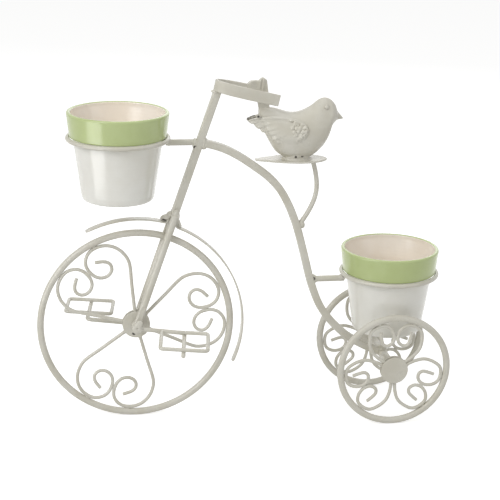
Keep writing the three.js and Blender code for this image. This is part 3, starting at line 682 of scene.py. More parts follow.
@dataclass(frozen=True)
class SatinPaint:
    """Ivory-grey satin paint over steel, near black where the mesh is marked for painted shade."""

    name: str = "satin_cream_paint"
    light: Rgba = tone(213, 210, 199)
    deep: Rgba = tone(204, 200, 186)
    # edge is a painted highlight on outer bends; hollow is painted shade in inner bends and also the nibs'
    # own tone.
    edge: Rgba = tone(222, 221, 213)
    hollow: Rgba = tone(158, 150, 134)
    # The near black of painted shade in marked pits, cracks and under the eyes.
    painted_shade: Rgba = tone(46, 40, 33)
    gloss: Point = (0.23, 0.34)
    patch_scale: float = 38.0
    peel_scale: float = 620.0
    nib_scale: float = 380.0
    bend_spread: float = 0.08
    # How strongly the painted highlight on outer bends and the painted shade in inner bends are laid on.
    edge_highlight_share: float = 0.3
    hollow_shade_share: float = 0.7
    nib_share: float = 0.25
    nib_height: float = 0.5
    painted_shade_roughness: float = 0.4
    peel_height: float = 0.035

    def build(self, sprayed: ShaderNodeTree, light_masks: ShaderNodeTree) -> Coat:
        """Build the paint.

        Args:
            sprayed: The group for an uneven coat.
            light_masks: The group that finds edges and hollows.

        Returns:
            The paint, in its slot.
        """
        wiring, shader = new_material(self.name)
        scales = {"Patch_Scale": self.patch_scale, "Peel_Scale": self.peel_scale, "Nib_Scale": self.nib_scale}
        coat = wiring.group(sprayed, **scales).outputs
        form = wiring.group(light_masks, Spread=self.bend_spread).outputs
        # The mesh's mark of painted shade: weld pits, cracks and the eyes' lower sides.
        painted_shade = wiring.add("Attribute", {"attribute_name": "painted_shade"}).outputs["Fac"]
        body = wiring.blend(coat["Patch"], self.deep, self.light)
        # A painted highlight on outer bends and painted shade in inner bends; the nibs are specks in the
        # coat.
        body = wiring.lay(self.edge, body, form["Edge"], self.edge_highlight_share)
        body = wiring.lay(self.hollow, body, form["Hollow"], self.hollow_shade_share)
        body = wiring.lay(self.hollow, body, coat["Nibs"], self.nib_share)
        # Near black where the mesh is marked: painted shade.
        wiring.feed(shader.inputs["Base Color"], wiring.blend(painted_shade, body, self.painted_shade))
        rough = wiring.span(coat["Patch"], 0.0, 1.0, self.gloss[1], self.gloss[0])
        wiring.feed(shader.inputs["Roughness"], wiring.math("MULTIPLY_ADD", painted_shade, self.painted_shade_roughness, rough))
        height = wiring.math("MULTIPLY_ADD", coat["Nibs"], self.nib_height, coat["Peel"])
        wiring.emboss(shader, height, self.peel_height)
        return Coat(Slot.PAINT, bpy.data.materials[self.name])


@dataclass(frozen=True)
class PotGlaze:
    """Gloss glaze: a green collar, a white body and a cream inside, told apart by the mesh's own marks."""

    name: str = "gloss_pot_glaze"
    white: Rgba = tone(236, 235, 228)
    white_deep: Rgba = tone(231, 229, 220)
    green: Rgba = tone(188, 202, 141)
    green_deep: Rgba = tone(181, 195, 131)
    cream: Rgba = tone(246, 238, 226)
    cream_deep: Rgba = tone(241, 231, 216)
    gloss: Point = (0.16, 0.26)
    patch_scale: float = 26.0
    peel_scale: float = 240.0
    bend_spread: float = 0.08
    # How strongly white is laid on outer edges as a painted highlight.
    edge_highlight_share: float = 0.3
    seam_scale: float = 180.0
    seam_sway: float = 0.5
    seam: Point = (0.3, 0.7)
    ring_scale: float = 85.0
    ring_share: float = 0.35
    ring_depth: float = 0.06
    top_coat: float = 0.3
    top_roughness: float = 0.17

    def build(self, sprayed: ShaderNodeTree, light_masks: ShaderNodeTree) -> Coat:
        """Build the glaze.

        Args:
            sprayed: The group for an uneven coat.
            light_masks: The group that finds edges and hollows.

        Returns:
            The glaze, in its slot.
        """
        wiring, shader = new_material(self.name)
        coat = wiring.group(sprayed, Patch_Scale=self.patch_scale, Peel_Scale=self.peel_scale).outputs
        form = wiring.group(light_masks, Spread=self.bend_spread).outputs
        place, patch = wiring.add("TexCoord").outputs["Object"], coat["Patch"]
        wobble = wiring.add("TexNoise", Vector=place, Scale=self.seam_scale, Detail=2.0).outputs[0]
        sway = wiring.math("MULTIPLY_ADD", wobble, self.seam_sway, -self.seam_sway / 2)
        body = wiring.blend(patch, self.white_deep, self.white)
        tones = {"green": (self.green_deep, self.green), "cream": (self.cream_deep, self.cream)}
        for label, (deep, light) in tones.items():
            marked = wiring.add("Attribute", {"attribute_name": label}).outputs["Fac"]
            zone = wiring.span(wiring.math("ADD", marked, sway), *self.seam)
            body = wiring.blend(zone, body, wiring.blend(patch, deep, light))
        # White laid on outer edges: a painted highlight, as on the lip.
        body = wiring.lay(self.white, body, form["Edge"], self.edge_highlight_share)
        wiring.feed(shader.inputs["Base Color"], body)
        wiring.feed(shader.inputs["Roughness"], wiring.span(patch, 0.0, 1.0, self.gloss[1], self.gloss[0]))
        rings = wiring.add(
            "TexWave", {"wave_type": "BANDS", "bands_direction": "Z"},
            Vector=place, Scale=self.ring_scale, Distortion=1.2, Detail=2.0, Detail_Scale=1.5,
        )
        height = wiring.math("MULTIPLY_ADD", rings.outputs["Fac"], self.ring_share, coat["Peel"])
        wiring.emboss(shader, height, self.ring_depth)
        shader.inputs["Coat Weight"].default_value = self.top_coat
        shader.inputs["Coat Roughness"].default_value = self.top_roughness
        return Coat(Slot.GLAZE, bpy.data.materials[self.name])


# Dressing


@dataclass
class SubAssembly:
    """Pieces that ride on one body and wear one coat."""

    body: Body
    coat: Coat

    def dress(self, piece: Object, *nodes: str, sharp: float = 40.0) -> None:
        """Set a piece's place, shading and material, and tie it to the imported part.

        Args:
            piece: The finished mesh.
            nodes: The CAD nodes it stands for.
            sharp: The angle above which an edge stays sharp, in degrees.
        """
        select_only(piece)
        bpy.ops.object.transform_apply(location=True, rotation=True, scale=True)
        bpy.ops.object.shade_smooth_by_angle(angle=math.radians(sharp))
        piece.data.materials.clear()
        piece.data.materials.append(self.coat.material)
        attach(piece, self.body.value)
        if nodes:
            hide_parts(*nodes)
        LOG.info("%s: %d faces on %s", piece.name, len(piece.data.polygons), self.body.value)


# Welds


@dataclass(frozen=True)
class Pit:
    """A pinhole, or one step of a crack: its place, its radius and how black its painted shade is."""

    place: Vector
    radius: float
    painted_shade: float

    def nearness(self, place: Vector) -> float:
        """Give how far inside the pit a place lies, in millimetres; outside it is below 0."""
        return self.radius - (place - self.place).length

    def blackness(self, place: Vector) -> float:
        """Give the painted shade that the pit leaves at a place."""
        return (1.25 - (place - self.place).length / self.radius) * self.painted_shade


def pit_depth(pits: Sequence[Pit], place: Vector) -> float:
    """Give how far pits push a place in, as a distance along its normal."""
    return -0.8 * max(max(0.0, pit.nearness(place)) for pit in pits)


def pit_painted_shade(pits: Sequence[Pit], place: Vector) -> float:
    """Give the painted shade that pits leave at a place."""
    return 1.6 * max(pit.blackness(place) for pit in pits)


@dataclass
class Lump:
    """One weld lump: its place, its half sizes, its lean about Y and the pits in it."""

    place: Place
    size: Place
    lean: float = 0.0
    pits: Sequence[Pit] = ()


@dataclass
class Welds(SubAssembly):
    """The weld lumps of one body, joined into one piece."""

    name: str
    lumps: list[Lump]
    melted: bool = True
    reach: float = 9.0
    grain: float = 0.42
    passes: int = 5
    unevenness: float = 0.16

    def clusters(self) -> list[list[Lump]]:
        """Gather the lumps that lie near each other.

        Returns:
            The clusters, in the order in which their last lumps are listed.
        """
        groups: list[list[Lump]] = []
        for lump in self.lumps:
            here = Vector(lump.place)
            near = [
                group for group in groups
                if any((here - Vector(other.place)).length < self.reach for other in group)
            ]
            merged = [other for group in near for other in group] + [lump]
            groups = [group for group in groups if group not in near] + [merged]
        return groups

    def build(self) -> None:
        """Model one lump, copy it to each weld, melt the copies together and pit them."""
        select_only()
        bpy.ops.mesh.primitive_ico_sphere_add(subdivisions=3, radius=MM)
        pattern = bpy.context.object
        made = []
        for number, cluster in enumerate(self.clusters()):
            parts = []
            for index, lump in enumerate(cluster):
                turn = Matrix.Rotation(math.radians(lump.lean), 4, "Y")
                place = Matrix.Translation(Vector(lump.place)) @ turn @ Matrix.Diagonal((*lump.size, 1))
                parts.append(copied(pattern, f"lump_{number}_{index}", place))
            if self.melted:
                made.append(fused(f"bead_{number}", parts, self.grain, self.passes))
            else:
                made.append(joined(f"bead_{number}", parts))
        bpy.data.objects.remove(pattern)
        piece = joined(self.name, made)
        push_along_normals(piece, lambda place: self.unevenness * noise.fractal(place * 0.3, 0.8, 2.0, 3))
        pits = [pit for lump in self.lumps for pit in lump.pits]
        if pits:
            # The pits are painted near black: painted shade in the pinholes and cracks, which are also pushed
            # in.
            mark(piece, "painted_shade", lambda place: pit_painted_shade(pits, place))
            push_along_normals(piece, lambda place: pit_depth(pits, place))
        self.dress(piece, sharp=80)


@dataclass
class BirdSkirt(SubAssembly):
    """The weld that flares out under the bird onto the saddle, with two pinholes in it."""

    middle: float = 53.4
    sides: int = 72
    sway: float = 0.05
    unevenness: float = 0.3
    rows: Shares = (
        (281.3, 17.5, 15.4), (281.9, 16.2, 14.4), (282.8, 15.0, 13.7), (284.2, 14.2, 13.6),
        (286.0, 13.6, 14.2), (287.8, 12.6, 14.9), (289.0, 10.0, 14.2), (289.6, 6.0, 11.0),
    )

    def build(self) -> None:
        """Loft the skirt through its rows of height, half length and half width, and pit it."""
        rings = []
        for height, long, wide in self.rows:
            ring = []
            for step in range(self.sides):
                angle = math.tau * step / self.sides
                x, y = math.cos(angle), math.sin(angle)
                swell = 1 + self.sway * noise.noise(Vector((x * 2.2, y * 2.2, height * 0.25)))
                ring.append(Vector((self.middle + long * swell * x, wide * swell * y, height)))
            rings.append(ring)
        skirt = fused("bird_base_weld", [skin("skirt_blank", rings)], voxel=0.42, passes=6)
        pits = (Pit(Vector((50.0, -14.6, 285.6)), 1.5, 1.5), Pit(Vector((57.2, -14.4, 286.3)), 1.5, 1.5))
        # Both pinholes are painted near black as painted shade, and pushed in below.
        mark(skirt, "painted_shade", lambda place: pit_painted_shade(pits, place))

        def relief_at(place: Vector) -> float:
            """Give the skirt's unevenness and its pits at a place."""
            return self.unevenness * noise.fractal(place * 0.24, 0.8, 2.0, 3) + pit_depth(pits, place)

        push_along_normals(skirt, relief_at)
        self.dress(skirt, sharp=80)


# Wheels


@dataclass
class ScrollWheel(SubAssembly):
    """A tube rim on three hearts of scrolled wire, between two hub plates."""

    prefix: str
    centre: Vector
    radius: float
    lobe_shares: Shares
    first_angle: float
    start: WireStart
    tube: float = 7.2
    wire: float = 3.4
    paint_depth: float = 0.12
    hub_radius: float = 14.6
    plate: float = 1.5
    plate_soft: float = 0.55
    plate_rows: tuple[float, ...] = (0.93, 0.8, 0.6, 0.4)
    bore: float = 2.8
    wire_start: float = 7.0
    hearts: int = 3
    steps: int = 66
    rim_weld: Place = (2.0, 1.5, 2.0)
    hub_weld: Place = (2.1, 1.9, 2.1)
    twin_weld: Place = (2.2, 1.5, 2.2)

    @property
    def twin_offset(self) -> float:
        """How far a wire's middle lies from its mirror twin's."""
        return (self.wire + SEAT_GAP) / 2

    @property
    def reach(self) -> float:
        """How far the wires' middles reach, to touch the rim."""
        return self.radius - self.tube - self.wire / 2 - SEAT_GAP

    @property
    def plate_offset(self) -> float:
        """From the wheel's middle plane to the middle of a hub plate."""
        return self.wire / 2 + SEAT_GAP + self.plate / 2

    def turned(self, heart: int, side: Side) -> Matrix:
        """Turn a heart's own axes, which are mirrored for its left wire, to its place about the hub."""
        turn = Matrix.Rotation(-math.radians(self.first_angle + heart * 360 / self.hearts), 4, "Y")
        return turn @ Matrix.Diagonal((1, 1, side.value, 1))

    def wire_route(self) -> Ring:
        """Fit one scroll between the hub, the rim and its mirror twin.

        Returns:
            The wire's stations, its heart's axis along +X.
        """
        edge = math.pi / self.hearts
        along = Vector((math.cos(edge), 0, math.sin(edge)))
        inward = Vector((math.sin(edge), 0, -math.cos(edge)))
        scale, lift, route = self.reach, self.twin_offset, []
        for _ in range(5):
            lobe = [Vector((out * scale, 0, lift + aside * scale)) for out, aside in self.lobe_shares]
            if self.start is WireStart.RADIAL:
                begin = [lobe[0].normalized() * self.wire_start]
            else:
                spread = (self.wire_start, self.hub_radius)
                begin = [along * out + inward * self.twin_offset for out in spread]
            route = smooth_route(begin + lobe, self.steps)
            scale *= self.reach / max(point.length for point in route)
            lift += self.twin_offset - min(point.z for point in route[self.steps // 2:])
        return route

    def build(self) -> None:
        """Make and dress the whole wheel."""
        self.build_rim()
        self.build_scrolls()
        self.build_hub()

    def build_rim(self) -> None:
        """Make the tube rim."""
        middle = self.centre + X_AXIS * (self.radius - self.tube / 2)
        profile = [middle + X_AXIS * u + Y_AXIS * v for u, v in round_section(self.tube / 2, 24)]
        rim = spun(f"{self.prefix}_tube_rim", profile, 176, self.centre, Y_AXIS)
        self.dress(rim, f"{self.prefix}_rim", sharp=60)

    def build_scrolls(self) -> None:
        """Make one scroll and copy it round the hub in mirrored pairs."""
        section = round_section(self.wire / 2 + self.paint_depth, 14)
        scroll = swept("scroll_pattern", self.wire_route(), section, Y_AXIS, rounding=0.6)
        for heart in range(self.hearts):
            for index, side in enumerate(Side, start=1):
                label = f"{self.prefix}_scroll_{heart * 2 + index}"
                place = Matrix.Translation(self.centre) @ self.turned(heart, side)
                wire = copied(scroll, label + "_wire", place)
                self.dress(wire, label, sharp=60)
        bpy.data.objects.remove(scroll)

    def hub_disc(self, name: str, offset: float, bored: bool) -> Object:
        """Turn a hub plate with softened edges.

        Args:
            name: The piece's name.
            offset: Its middle's place along Y from the wheel's middle plane.
            bored: Whether it has a bore for the axle.

        Returns:
            The plate.
        """
        half, soft = self.plate / 2, self.plate_soft
        turns = [math.radians(angle) for angle in (0, 22, 45, 67, 90)]
        flat = self.hub_radius - soft
        outer = [(flat + soft * math.cos(t), half - soft + soft * math.sin(t)) for t in turns]
        rows = [(self.hub_radius * share, half) for share in self.plate_rows]
        upper = [*outer, *rows, (self.bore if bored else 0.0, half)]
        points = [(r, -h) for r, h in reversed(upper)] + upper
        profile = [self.centre + X_AXIS * r + Y_AXIS * (offset + h) for r, h in points]
        return spun(name, profile, 72, self.centre, Y_AXIS, closed=bored)

    def build_hub(self) -> None:
        """Make the two hub plates."""
        raise NotImplementedError

    def weld_lumps(self) -> list[Lump]:
        """Find where the scrolls touch the rim, each other and the hub.

        Returns:
            A small lump for each of these places.
        """
        route = self.wire_route()
        on_rim = max(route, key=lambda point: point.length)
        on_twin = min(route[self.steps // 2:], key=lambda point: point.z)
        on_hub = min(route, key=lambda point: abs(point.length - self.hub_radius))
        out = on_rim * ((on_rim.length + self.wire / 2) / on_rim.length)
        between = Vector((on_twin.x, 0, 0))
        lumps = []
        for heart in range(self.hearts):
            for side in Side:
                for spot, size in ((out, self.rim_weld), (on_hub, self.hub_weld)):
                    lumps.append(Lump(tuple(self.centre + self.turned(heart, side) @ spot), size))
            lumps.append(Lump(tuple(self.centre + self.turned(heart, Side.RIGHT) @ between), self.twin_weld))
        return lumps


@dataclass
class FrontWheel(ScrollWheel):
    """The large front wheel, with both its hub plates bored for the axle."""

    def build_hub(self) -> None:
        """Make the two bored plates."""
        for side in Side:
            node = f"front_{side.label}_hub_plate"
            self.dress(self.hub_disc(node + "_disc", side.value * self.plate_offset, bored=True), node)


@dataclass
class RearWheel(ScrollWheel):
    """A small rear wheel: a bored plate inside and a plain cover outside."""

    side: Side = Side.LEFT

    def build_hub(self) -> None:
        """Make the inner plate and the outer cover."""
        offset = self.side.value * self.plate_offset
        inner = self.hub_disc(f"{self.prefix}_inner_disc", -offset, bored=True)
        self.dress(inner, f"{self.prefix}_hub_plate")
        cover = self.hub_disc(f"{self.prefix}_cover_disc", offset, bored=False)
        self.dress(cover, f"{self.prefix}_hub_cover")


@dataclass
class CrankAndPedal(SubAssembly):
    """A crank bent into its pedal spindle, welded to a boss, with a wire loop for a pedal."""

    side: Side
    drop: float
    centre: Vector
    offset: float = 14.7
    rod: float = 4.6
    length: float = 50.5
    slope: float = 7.5
    boss_radius: float = 5.6
    boss_thickness: float = 6.0
    boss_soft: float = 0.8
    bore: float = 2.8
    bend: float = 5.0
    toe: float = 8.0
    droop: float = 2.0
    pedal_wire: float = 3.5
    paint_depth: float = 0.28
    pedal_length: float = 48.6
    pedal_depth: float = 48.5
    pedal_corner: float = 4.0
    pedal_slope: float = 2.5
    pedal_split: float = 0.2
    standoff: float = 10.0
    overhang: float = 7.0

    @property
    def spindle(self) -> Vector:
        """The spindle's direction, beside the crank's own +X."""
        toe, droop = math.radians(self.toe), math.radians(self.droop)
        return Vector((-math.sin(toe), -math.cos(toe) * math.cos(droop), -math.cos(toe) * math.sin(droop)))

    @property
    def place(self) -> Matrix:
        """Where the crank's own axes lie in the part.

        Returns:
            The turn and the shift from the crank's axes to the part's.
        """
        half_turn = Matrix.Rotation(math.pi if self.side is Side.RIGHT else 0.0, 4, "Z")
        fall = Matrix.Rotation(-self.side.value * math.radians(self.slope), 4, "Y")
        at = Matrix.Translation(self.centre + Y_AXIS * (self.side.value * self.offset))
        return at @ half_turn @ fall

    def build(self) -> None:
        """Make and dress the crank and its pedal."""
        corner = Vector((self.length, 0, -self.drop))
        tip = corner + self.spindle * (self.standoff + self.pedal_depth + self.overhang)
        wall = (self.bore + self.boss_radius) / 2
        start = Vector((math.sqrt(max(wall**2 - self.drop**2, (self.rod / 4) ** 2)), 0, -self.drop))
        bend = bent_corner(corner, -X_AXIS, self.spindle, self.bend)
        arm = spaced([start, bend[0]], 12)[:-1]
        spindle = spaced([bend[-1], tip], 14)[1:]
        across = X_AXIS.cross(self.spindle).normalized()
        rod = swept("rod", [*arm, *bend, *spindle], round_section(self.rod / 2, 20), across, rounding=0.7)
        half = self.boss_thickness / 2
        ring = washer_section(self.bore, self.boss_radius, -half, half, self.boss_soft)
        boss = spun("boss", [X_AXIS * r + Y_AXIS * h for r, h in ring], 40, Vector(), Y_AXIS)
        crank = fused(f"{self.side.label}_crank_arm", [rod, boss], voxel=0.42, passes=6)
        self.set_down(crank, f"{self.side.label}_crank")
        self.set_down(self.pedal_loop(corner), f"{self.side.label}_pedal")

    def set_down(self, piece: Object, node: str) -> None:
        """Move a piece from the crank's own axes into the part, and dress it.

        Args:
            piece: The piece.
            node: The CAD node it stands for.
        """
        place = self.place
        place.translation *= MM
        piece.data.transform(place)
        self.dress(piece, node, sharp=60)

    def pedal_loop(self, corner: Vector) -> Object:
        """Bend the pedal's wire loop, its ends butted on the bar nearest the crank.

        Args:
            corner: Where the crank turns into its spindle.

        Returns:
            The loop, in the crank's own axes.
        """
        x, y = self.pedal_length / 2, self.pedal_depth / 2
        corners = [Vector((sx * x, sy * y, 0)) for sx, sy in ((1, 1), (1, -1), (-1, -1), (-1, 1))]
        butt, split = Vector((0, y, 0)), X_AXIS * (self.pedal_split / 2)
        stops = [butt, *corners, butt]
        route = [butt + split]
        for before, turn, after in zip(stops, corners, stops[2:]):
            back, onward = (before - turn).normalized(), (after - turn).normalized()
            route += bent_corner(turn, back, onward, self.pedal_corner, 6)
        route.append(butt - split)
        section = round_section(self.pedal_wire / 2 + self.paint_depth, 16)
        loop = swept(f"{self.side.label}_pedal_loop", route, section, Z_AXIS, rounding=0.08)
        across = Z_AXIS.cross(self.spindle).normalized()
        upward = self.spindle.cross(across).normalized()
        basis = Matrix((across, -self.spindle, upward)).transposed().to_4x4()
        level = Matrix.Rotation(self.side.value * math.radians(self.slope - self.pedal_slope), 4, "Y")
        lift = (self.rod + self.pedal_wire) / 2 + SEAT_GAP
        middle = corner + self.spindle * (self.standoff + y) + upward * lift
        loop.data.transform(Matrix.Translation(middle * MM) @ basis @ level)
        return loop


# Welded frame


@dataclass
class Frame(SubAssembly):
    """The stem, fork, handlebar, fenders, backbone, axle, pot rings, saddle and post."""

    axle: Vector
    rear_axle: Vector
    lean: float = 18.4
    bar: float = 8.0
    corner: float = 1.3
    stem_foot: float = 119.0
    stem_top: float = 262.8
    leg: float = 7.8
    leg_foot: float = 1.5
    leg_top: float = 127.0
    leg_offset: float = 8.2
    eye_radius: float = 5.6
    eye_inner: float = 4.1
    eye_outer: float = 11.4
    eye_soft: float = 0.7
    bore: float = 2.8
    strip_height: float = 12.0
    strip: float = 2.4
    strip_back: float = 0.5
    pitch: float = 12.5
    bow_back: float = 44.0
    bow_half: float = 14.5
    left_arm: float = 65.4
    right_arm: float = 53.3
    fender_width: float = 10.0
    fender: float = 1.7
    fender_bend: float = 3.4
    fender_tab: float = 7.0
    backbone_joint: float = 299.5
    arm: float = 6.5
    ring_radius: float = 51.2
    ring_wire: float = 4.6
    journal: float = 2.5
    axle_half: float = 49.4
    journal_half: float = 55.2
    saddle_nose: float = 10.0
    saddle_length: float = 76.0
    saddle_width: float = 37.0
    saddle_top: float = 281.5
    saddle: float = 2.0
    saddle_soft: float = 0.95
    post: float = 5.0
    post_top: float = 71.0
    post_foot: float = 206.0
    post_bulge: float = 11.5
    bow_shares: Shares = (
        (0, 0), (0.022, 0.2), (0.1, 0.44), (0.25, 0.69), (0.45, 0.87), (0.71, 0.97), (1, 1),
    )
    backbone_shares: Shares = (
        (0, 1), (0.052, 0.992), (0.127, 0.971), (0.203, 0.937), (0.279, 0.893), (0.357, 0.842),
        (0.415, 0.788), (0.455, 0.731), (0.489, 0.667), (0.517, 0.6), (0.542, 0.525), (0.567, 0.445),
        (0.589, 0.373), (0.614, 0.309), (0.646, 0.244), (0.69, 0.186), (0.745, 0.133), (0.8, 0.09),
        (0.86, 0.056), (0.93, 0.025), (1, 0),
    )
    saddle_shares: Shares = (
        (0, 0.14), (0.03, 0.23), (0.1, 0.37), (0.22, 0.6), (0.38, 0.85), (0.56, 0.99),
        (0.74, 0.94), (0.87, 0.72), (0.95, 0.45), (0.99, 0.2),
    )
    post_shares: Shares = ((0.18, 0.55), (0.36, 0.93), (0.52, 1), (0.7, 0.78), (0.86, 0.42))

    @property
    def stem_place(self) -> Matrix:
        """The stem's own axes: +Z runs up it from the front axle."""
        return Matrix.Translation(self.axle) @ Matrix.Rotation(math.radians(self.lean), 4, "Y")

    @property
    def handlebar_place(self) -> Matrix:
        """The handlebar's own axes: +X runs back along its arms.

        Returns:
            The turn and the shift from the handlebar's axes to the part's.
        """
        at = self.on_stem(self.stem_top)
        at.x += self.strip_back + (self.strip - self.bar) / 2
        at.z += self.strip_height / 2
        return Matrix.Translation(at) @ Matrix.Rotation(math.radians(self.pitch), 4, "Y")

    @property
    def square_section(self) -> list[Point]:
        """The section of the square bar."""
        return bar_section(self.bar, self.bar, self.corner)

    def on_stem(self, along: float, aside: float = 0.0) -> Vector:
        """Find a place on the stem's middle line, or beside it."""
        return self.stem_place @ Vector((0.0, aside, along))

    def stem_at(self, height: float) -> Vector:
        """Find the stem's middle at a height."""
        return self.on_stem((height - self.axle.z) / math.cos(math.radians(self.lean)))

    def backbone_route(self, steps: int = 96) -> Ring:
        """Run the backbone's middle line from the stem to the rear axle.

        Args:
            steps: How many equal steps to make.

        Returns:
            The stations.
        """
        joint = self.stem_at(self.backbone_joint)
        foot = self.rear_axle.z
        run, drop = self.rear_axle.x - joint.x, self.backbone_joint - foot
        points = [Vector((joint.x + back * run, 0, foot + up * drop)) for back, up in self.backbone_shares]
        return smooth_route(points, steps)

    def backbone_at(self, height: float) -> Vector:
        """Find the backbone's middle at a height.

        Args:
            height: The height.

        Returns:
            The place.
        """
        route = self.backbone_route()
        index = next(i for i, point in enumerate(route) if point.z < height)
        above, below = route[index - 1], route[index]
        return above.lerp(below, (above.z - height) / (above.z - below.z))

    def build(self) -> None:
        """Make and dress the frame."""
        self.build_stem()
        self.build_fork()
        self.build_handlebar()
        self.build_fenders()
        self.build_backbone()
        self.build_rear_axle()
        self.build_pot_ring("front", Vector((FRONT_POT_X, 0, 305.8)), -83.4, None)
        self.build_pot_ring("rear", Vector((REAR_POT_X, 0, 154.0)), None, 110.4)
        self.build_saddle()
        self.build_post()

    def build_stem(self) -> None:
        """Make the square stem and trim its top under the handlebar."""
        route = spaced([self.on_stem(self.stem_foot), self.on_stem(self.stem_top + 3)], 36)
        stem = swept("stem_bar", route, self.square_section, Y_AXIS, rounding=0.7)
        place = self.handlebar_place
        under = place @ Vector((0, 0, -self.strip_height / 2))
        with editing(stem):
            bpy.ops.mesh.select_all(action="SELECT")
            bpy.ops.mesh.bisect(
                plane_co=under * MM, plane_no=place.to_3x3() @ Z_AXIS, use_fill=True, clear_outer=True
            )
        self.dress(stem, "stem", sharp=50)

    def build_fork(self) -> None:
        """Make each round leg and melt the eye for the axle into its foot."""
        for side in Side:
            aside = side.value * self.leg_offset
            ends = [self.on_stem(self.leg_foot, aside), self.on_stem(self.leg_top, aside)]
            leg = swept("leg", spaced(ends, 40), round_section(self.leg / 2, 24), Y_AXIS, rounding=1.6)
            ring = washer_section(self.bore, self.eye_radius, self.eye_inner, self.eye_outer, self.eye_soft)
            profile = [self.axle + X_AXIS * r + Y_AXIS * (side.value * h) for r, h in ring]
            eye = spun("eye", profile, 40, self.axle, Y_AXIS)
            piece = fused(f"{side.label}_leg_rod", [leg, eye], voxel=0.5, passes=6)
            face, near_eye = (self.eye_outer - 0.1) * MM, 26
            for vert in piece.data.vertices:
                if (vert.co / MM - self.axle).length < near_eye and abs(vert.co.y) > face:
                    vert.co.y = side.value * face
            self.dress(piece, f"{side.label}_fork_leg", sharp=60)

    def build_handlebar(self) -> None:
        """Bend the flat strip into its bow, the left arm longer than the right."""
        right, left = (
            [Vector((back * self.bow_back, side * out * self.bow_half, 0)) for back, out in self.bow_shares]
            for side in (1, -1)
        )
        bow = smooth_route([*reversed(right), *left[1:]], 84)
        right_tip = Vector((self.right_arm, self.bow_half, 0))
        left_tip = Vector((self.left_arm, -self.bow_half, 0))
        route = [*spaced([right_tip, bow[0]], 6)[:-1], *bow, *spaced([bow[-1], left_tip], 10)[1:]]
        place = self.handlebar_place
        section = bar_section(self.strip_height, self.strip, 0.75)
        bar = swept("handlebar_strip", [place @ p for p in route], section, place.to_3x3() @ Z_AXIS, 0.5)
        self.dress(bar, "handlebar", sharp=50)

    def fender_route(self, radius: float, tip_angle: float, side: int) -> Ring:
        """Run a fender's middle line over the wheel and up along the stem.

        Args:
            radius: The strip's middle radius about the front axle.
            tip_angle: Where its free tip lies, in degrees above the rearward direction.
            side: 1 where it meets the stem's front face and -1 at its back.

        Returns:
            The stations.
        """
        def on(angle: float, out: float = 0.0) -> Vector:
            """Find a place on the fender's circle, or outside it."""
            turn = math.radians(angle)
            return self.axle + Vector((math.cos(turn), 0, math.sin(turn))) * (radius + out)

        tab_offset = self.bar / 2 + SEAT_GAP + self.fender / 2
        tab_angle = 90 - self.lean + side * math.degrees(math.asin(tab_offset / radius))
        steps = max(12, round(abs(tab_angle - tip_angle) / 1.8))
        arc = [on(tip_angle + (tab_angle - tip_angle) * step / steps) for step in range(steps)]
        corner, top = on(tab_angle), on(tab_angle, self.fender_tab)
        back, up = (arc[-1] - corner).normalized(), (top - corner).normalized()
        bend = bent_corner(corner, back, up, self.fender_bend, 8)
        arc = [point for point in arc if (point - corner).length > (bend[0] - corner).length + 0.5]
        return [*arc, *bend, *spaced([bend[-1], top], 4)[1:]]

    def build_fenders(self) -> None:
        """Make the two strips over the front wheel, each with a rounded tip."""
        def tip(run: float, left: float) -> Point:
            """Narrow the strip over its first 4 mm."""
            near = min(run / 4.0, 1.0)
            return (0.35 + 0.65 * math.sqrt(max(1 - (1 - near) ** 2, 0.0)), 1.0)

        for label, radius, angle, side in (("front", 115.5, 117.0, 1), ("rear", 113.8, -24.0, -1)):
            route = self.fender_route(radius, angle, side)
            section = bar_section(self.fender_width, self.fender, 0.7)
            strip = swept(f"{label}_fender_strip", route, section, Y_AXIS, rounding=0.3, shape=tip)
            self.dress(strip, f"{label}_fender", sharp=50)

    def build_backbone(self) -> None:
        """Make the arched square bar and trim it along the stem's back."""
        bar = swept("backbone_bar", self.backbone_route(), self.square_section, Y_AXIS, rounding=0.5)
        away = self.stem_place.to_3x3() @ X_AXIS
        behind = self.axle + away * (self.bar / 2 + SEAT_GAP)
        with editing(bar):
            bpy.ops.mesh.select_all(action="SELECT")
            bpy.ops.mesh.bisect(plane_co=behind * MM, plane_no=away, use_fill=True, clear_inner=True)
        self.dress(bar, "backbone", sharp=50)

    def build_rear_axle(self) -> None:
        """Make the square axle bar with its two round journals."""
        parts = []
        for name, half, section, rounding in (
            ("axle_bar", self.axle_half, self.square_section, 0.6),
            ("journals", self.journal_half, round_section(self.journal, 20), 0.4),
        ):
            ends = [self.rear_axle + Y_AXIS * (end * half) for end in (-1, 1)]
            parts.append(swept(name, spaced(ends, 30), section, X_AXIS, rounding))
        self.dress(joined("rear_axle_bar", parts), "rear_axle", sharp=50)

    def build_pot_ring(self, label: str, centre: Vector, start: float | None, end: float | None) -> None:
        """Make a pot's ring and the arm that carries it.

        Args:
            label: Which ring it is.
            centre: The middle of the ring, level with its wire's middle.
            start: Where the arm starts along X; None is on the backbone.
            end: Where the arm ends along X; None is on the stem.
        """
        middle = centre + X_AXIS * self.ring_radius
        profile = [middle + X_AXIS * u + Z_AXIS * v for u, v in round_section(self.ring_wire / 2, 20)]
        ring = spun(f"{label}_ring_wire", profile, 144, centre, Z_AXIS)
        self.dress(ring, f"{label}_pot_ring", sharp=60)
        height = centre.z - (self.ring_wire + self.arm) / 2 - SEAT_GAP
        start = self.backbone_at(height).x if start is None else start
        end = self.stem_at(height).x if end is None else end
        route = spaced([Vector((start, 0, height)), Vector((end, 0, height))], 16)
        rod = swept(f"{label}_arm_rod", route, round_section(self.arm / 2, 24), Y_AXIS, rounding=1.0)
        self.dress(rod, f"{label}_pot_arm", sharp=60)

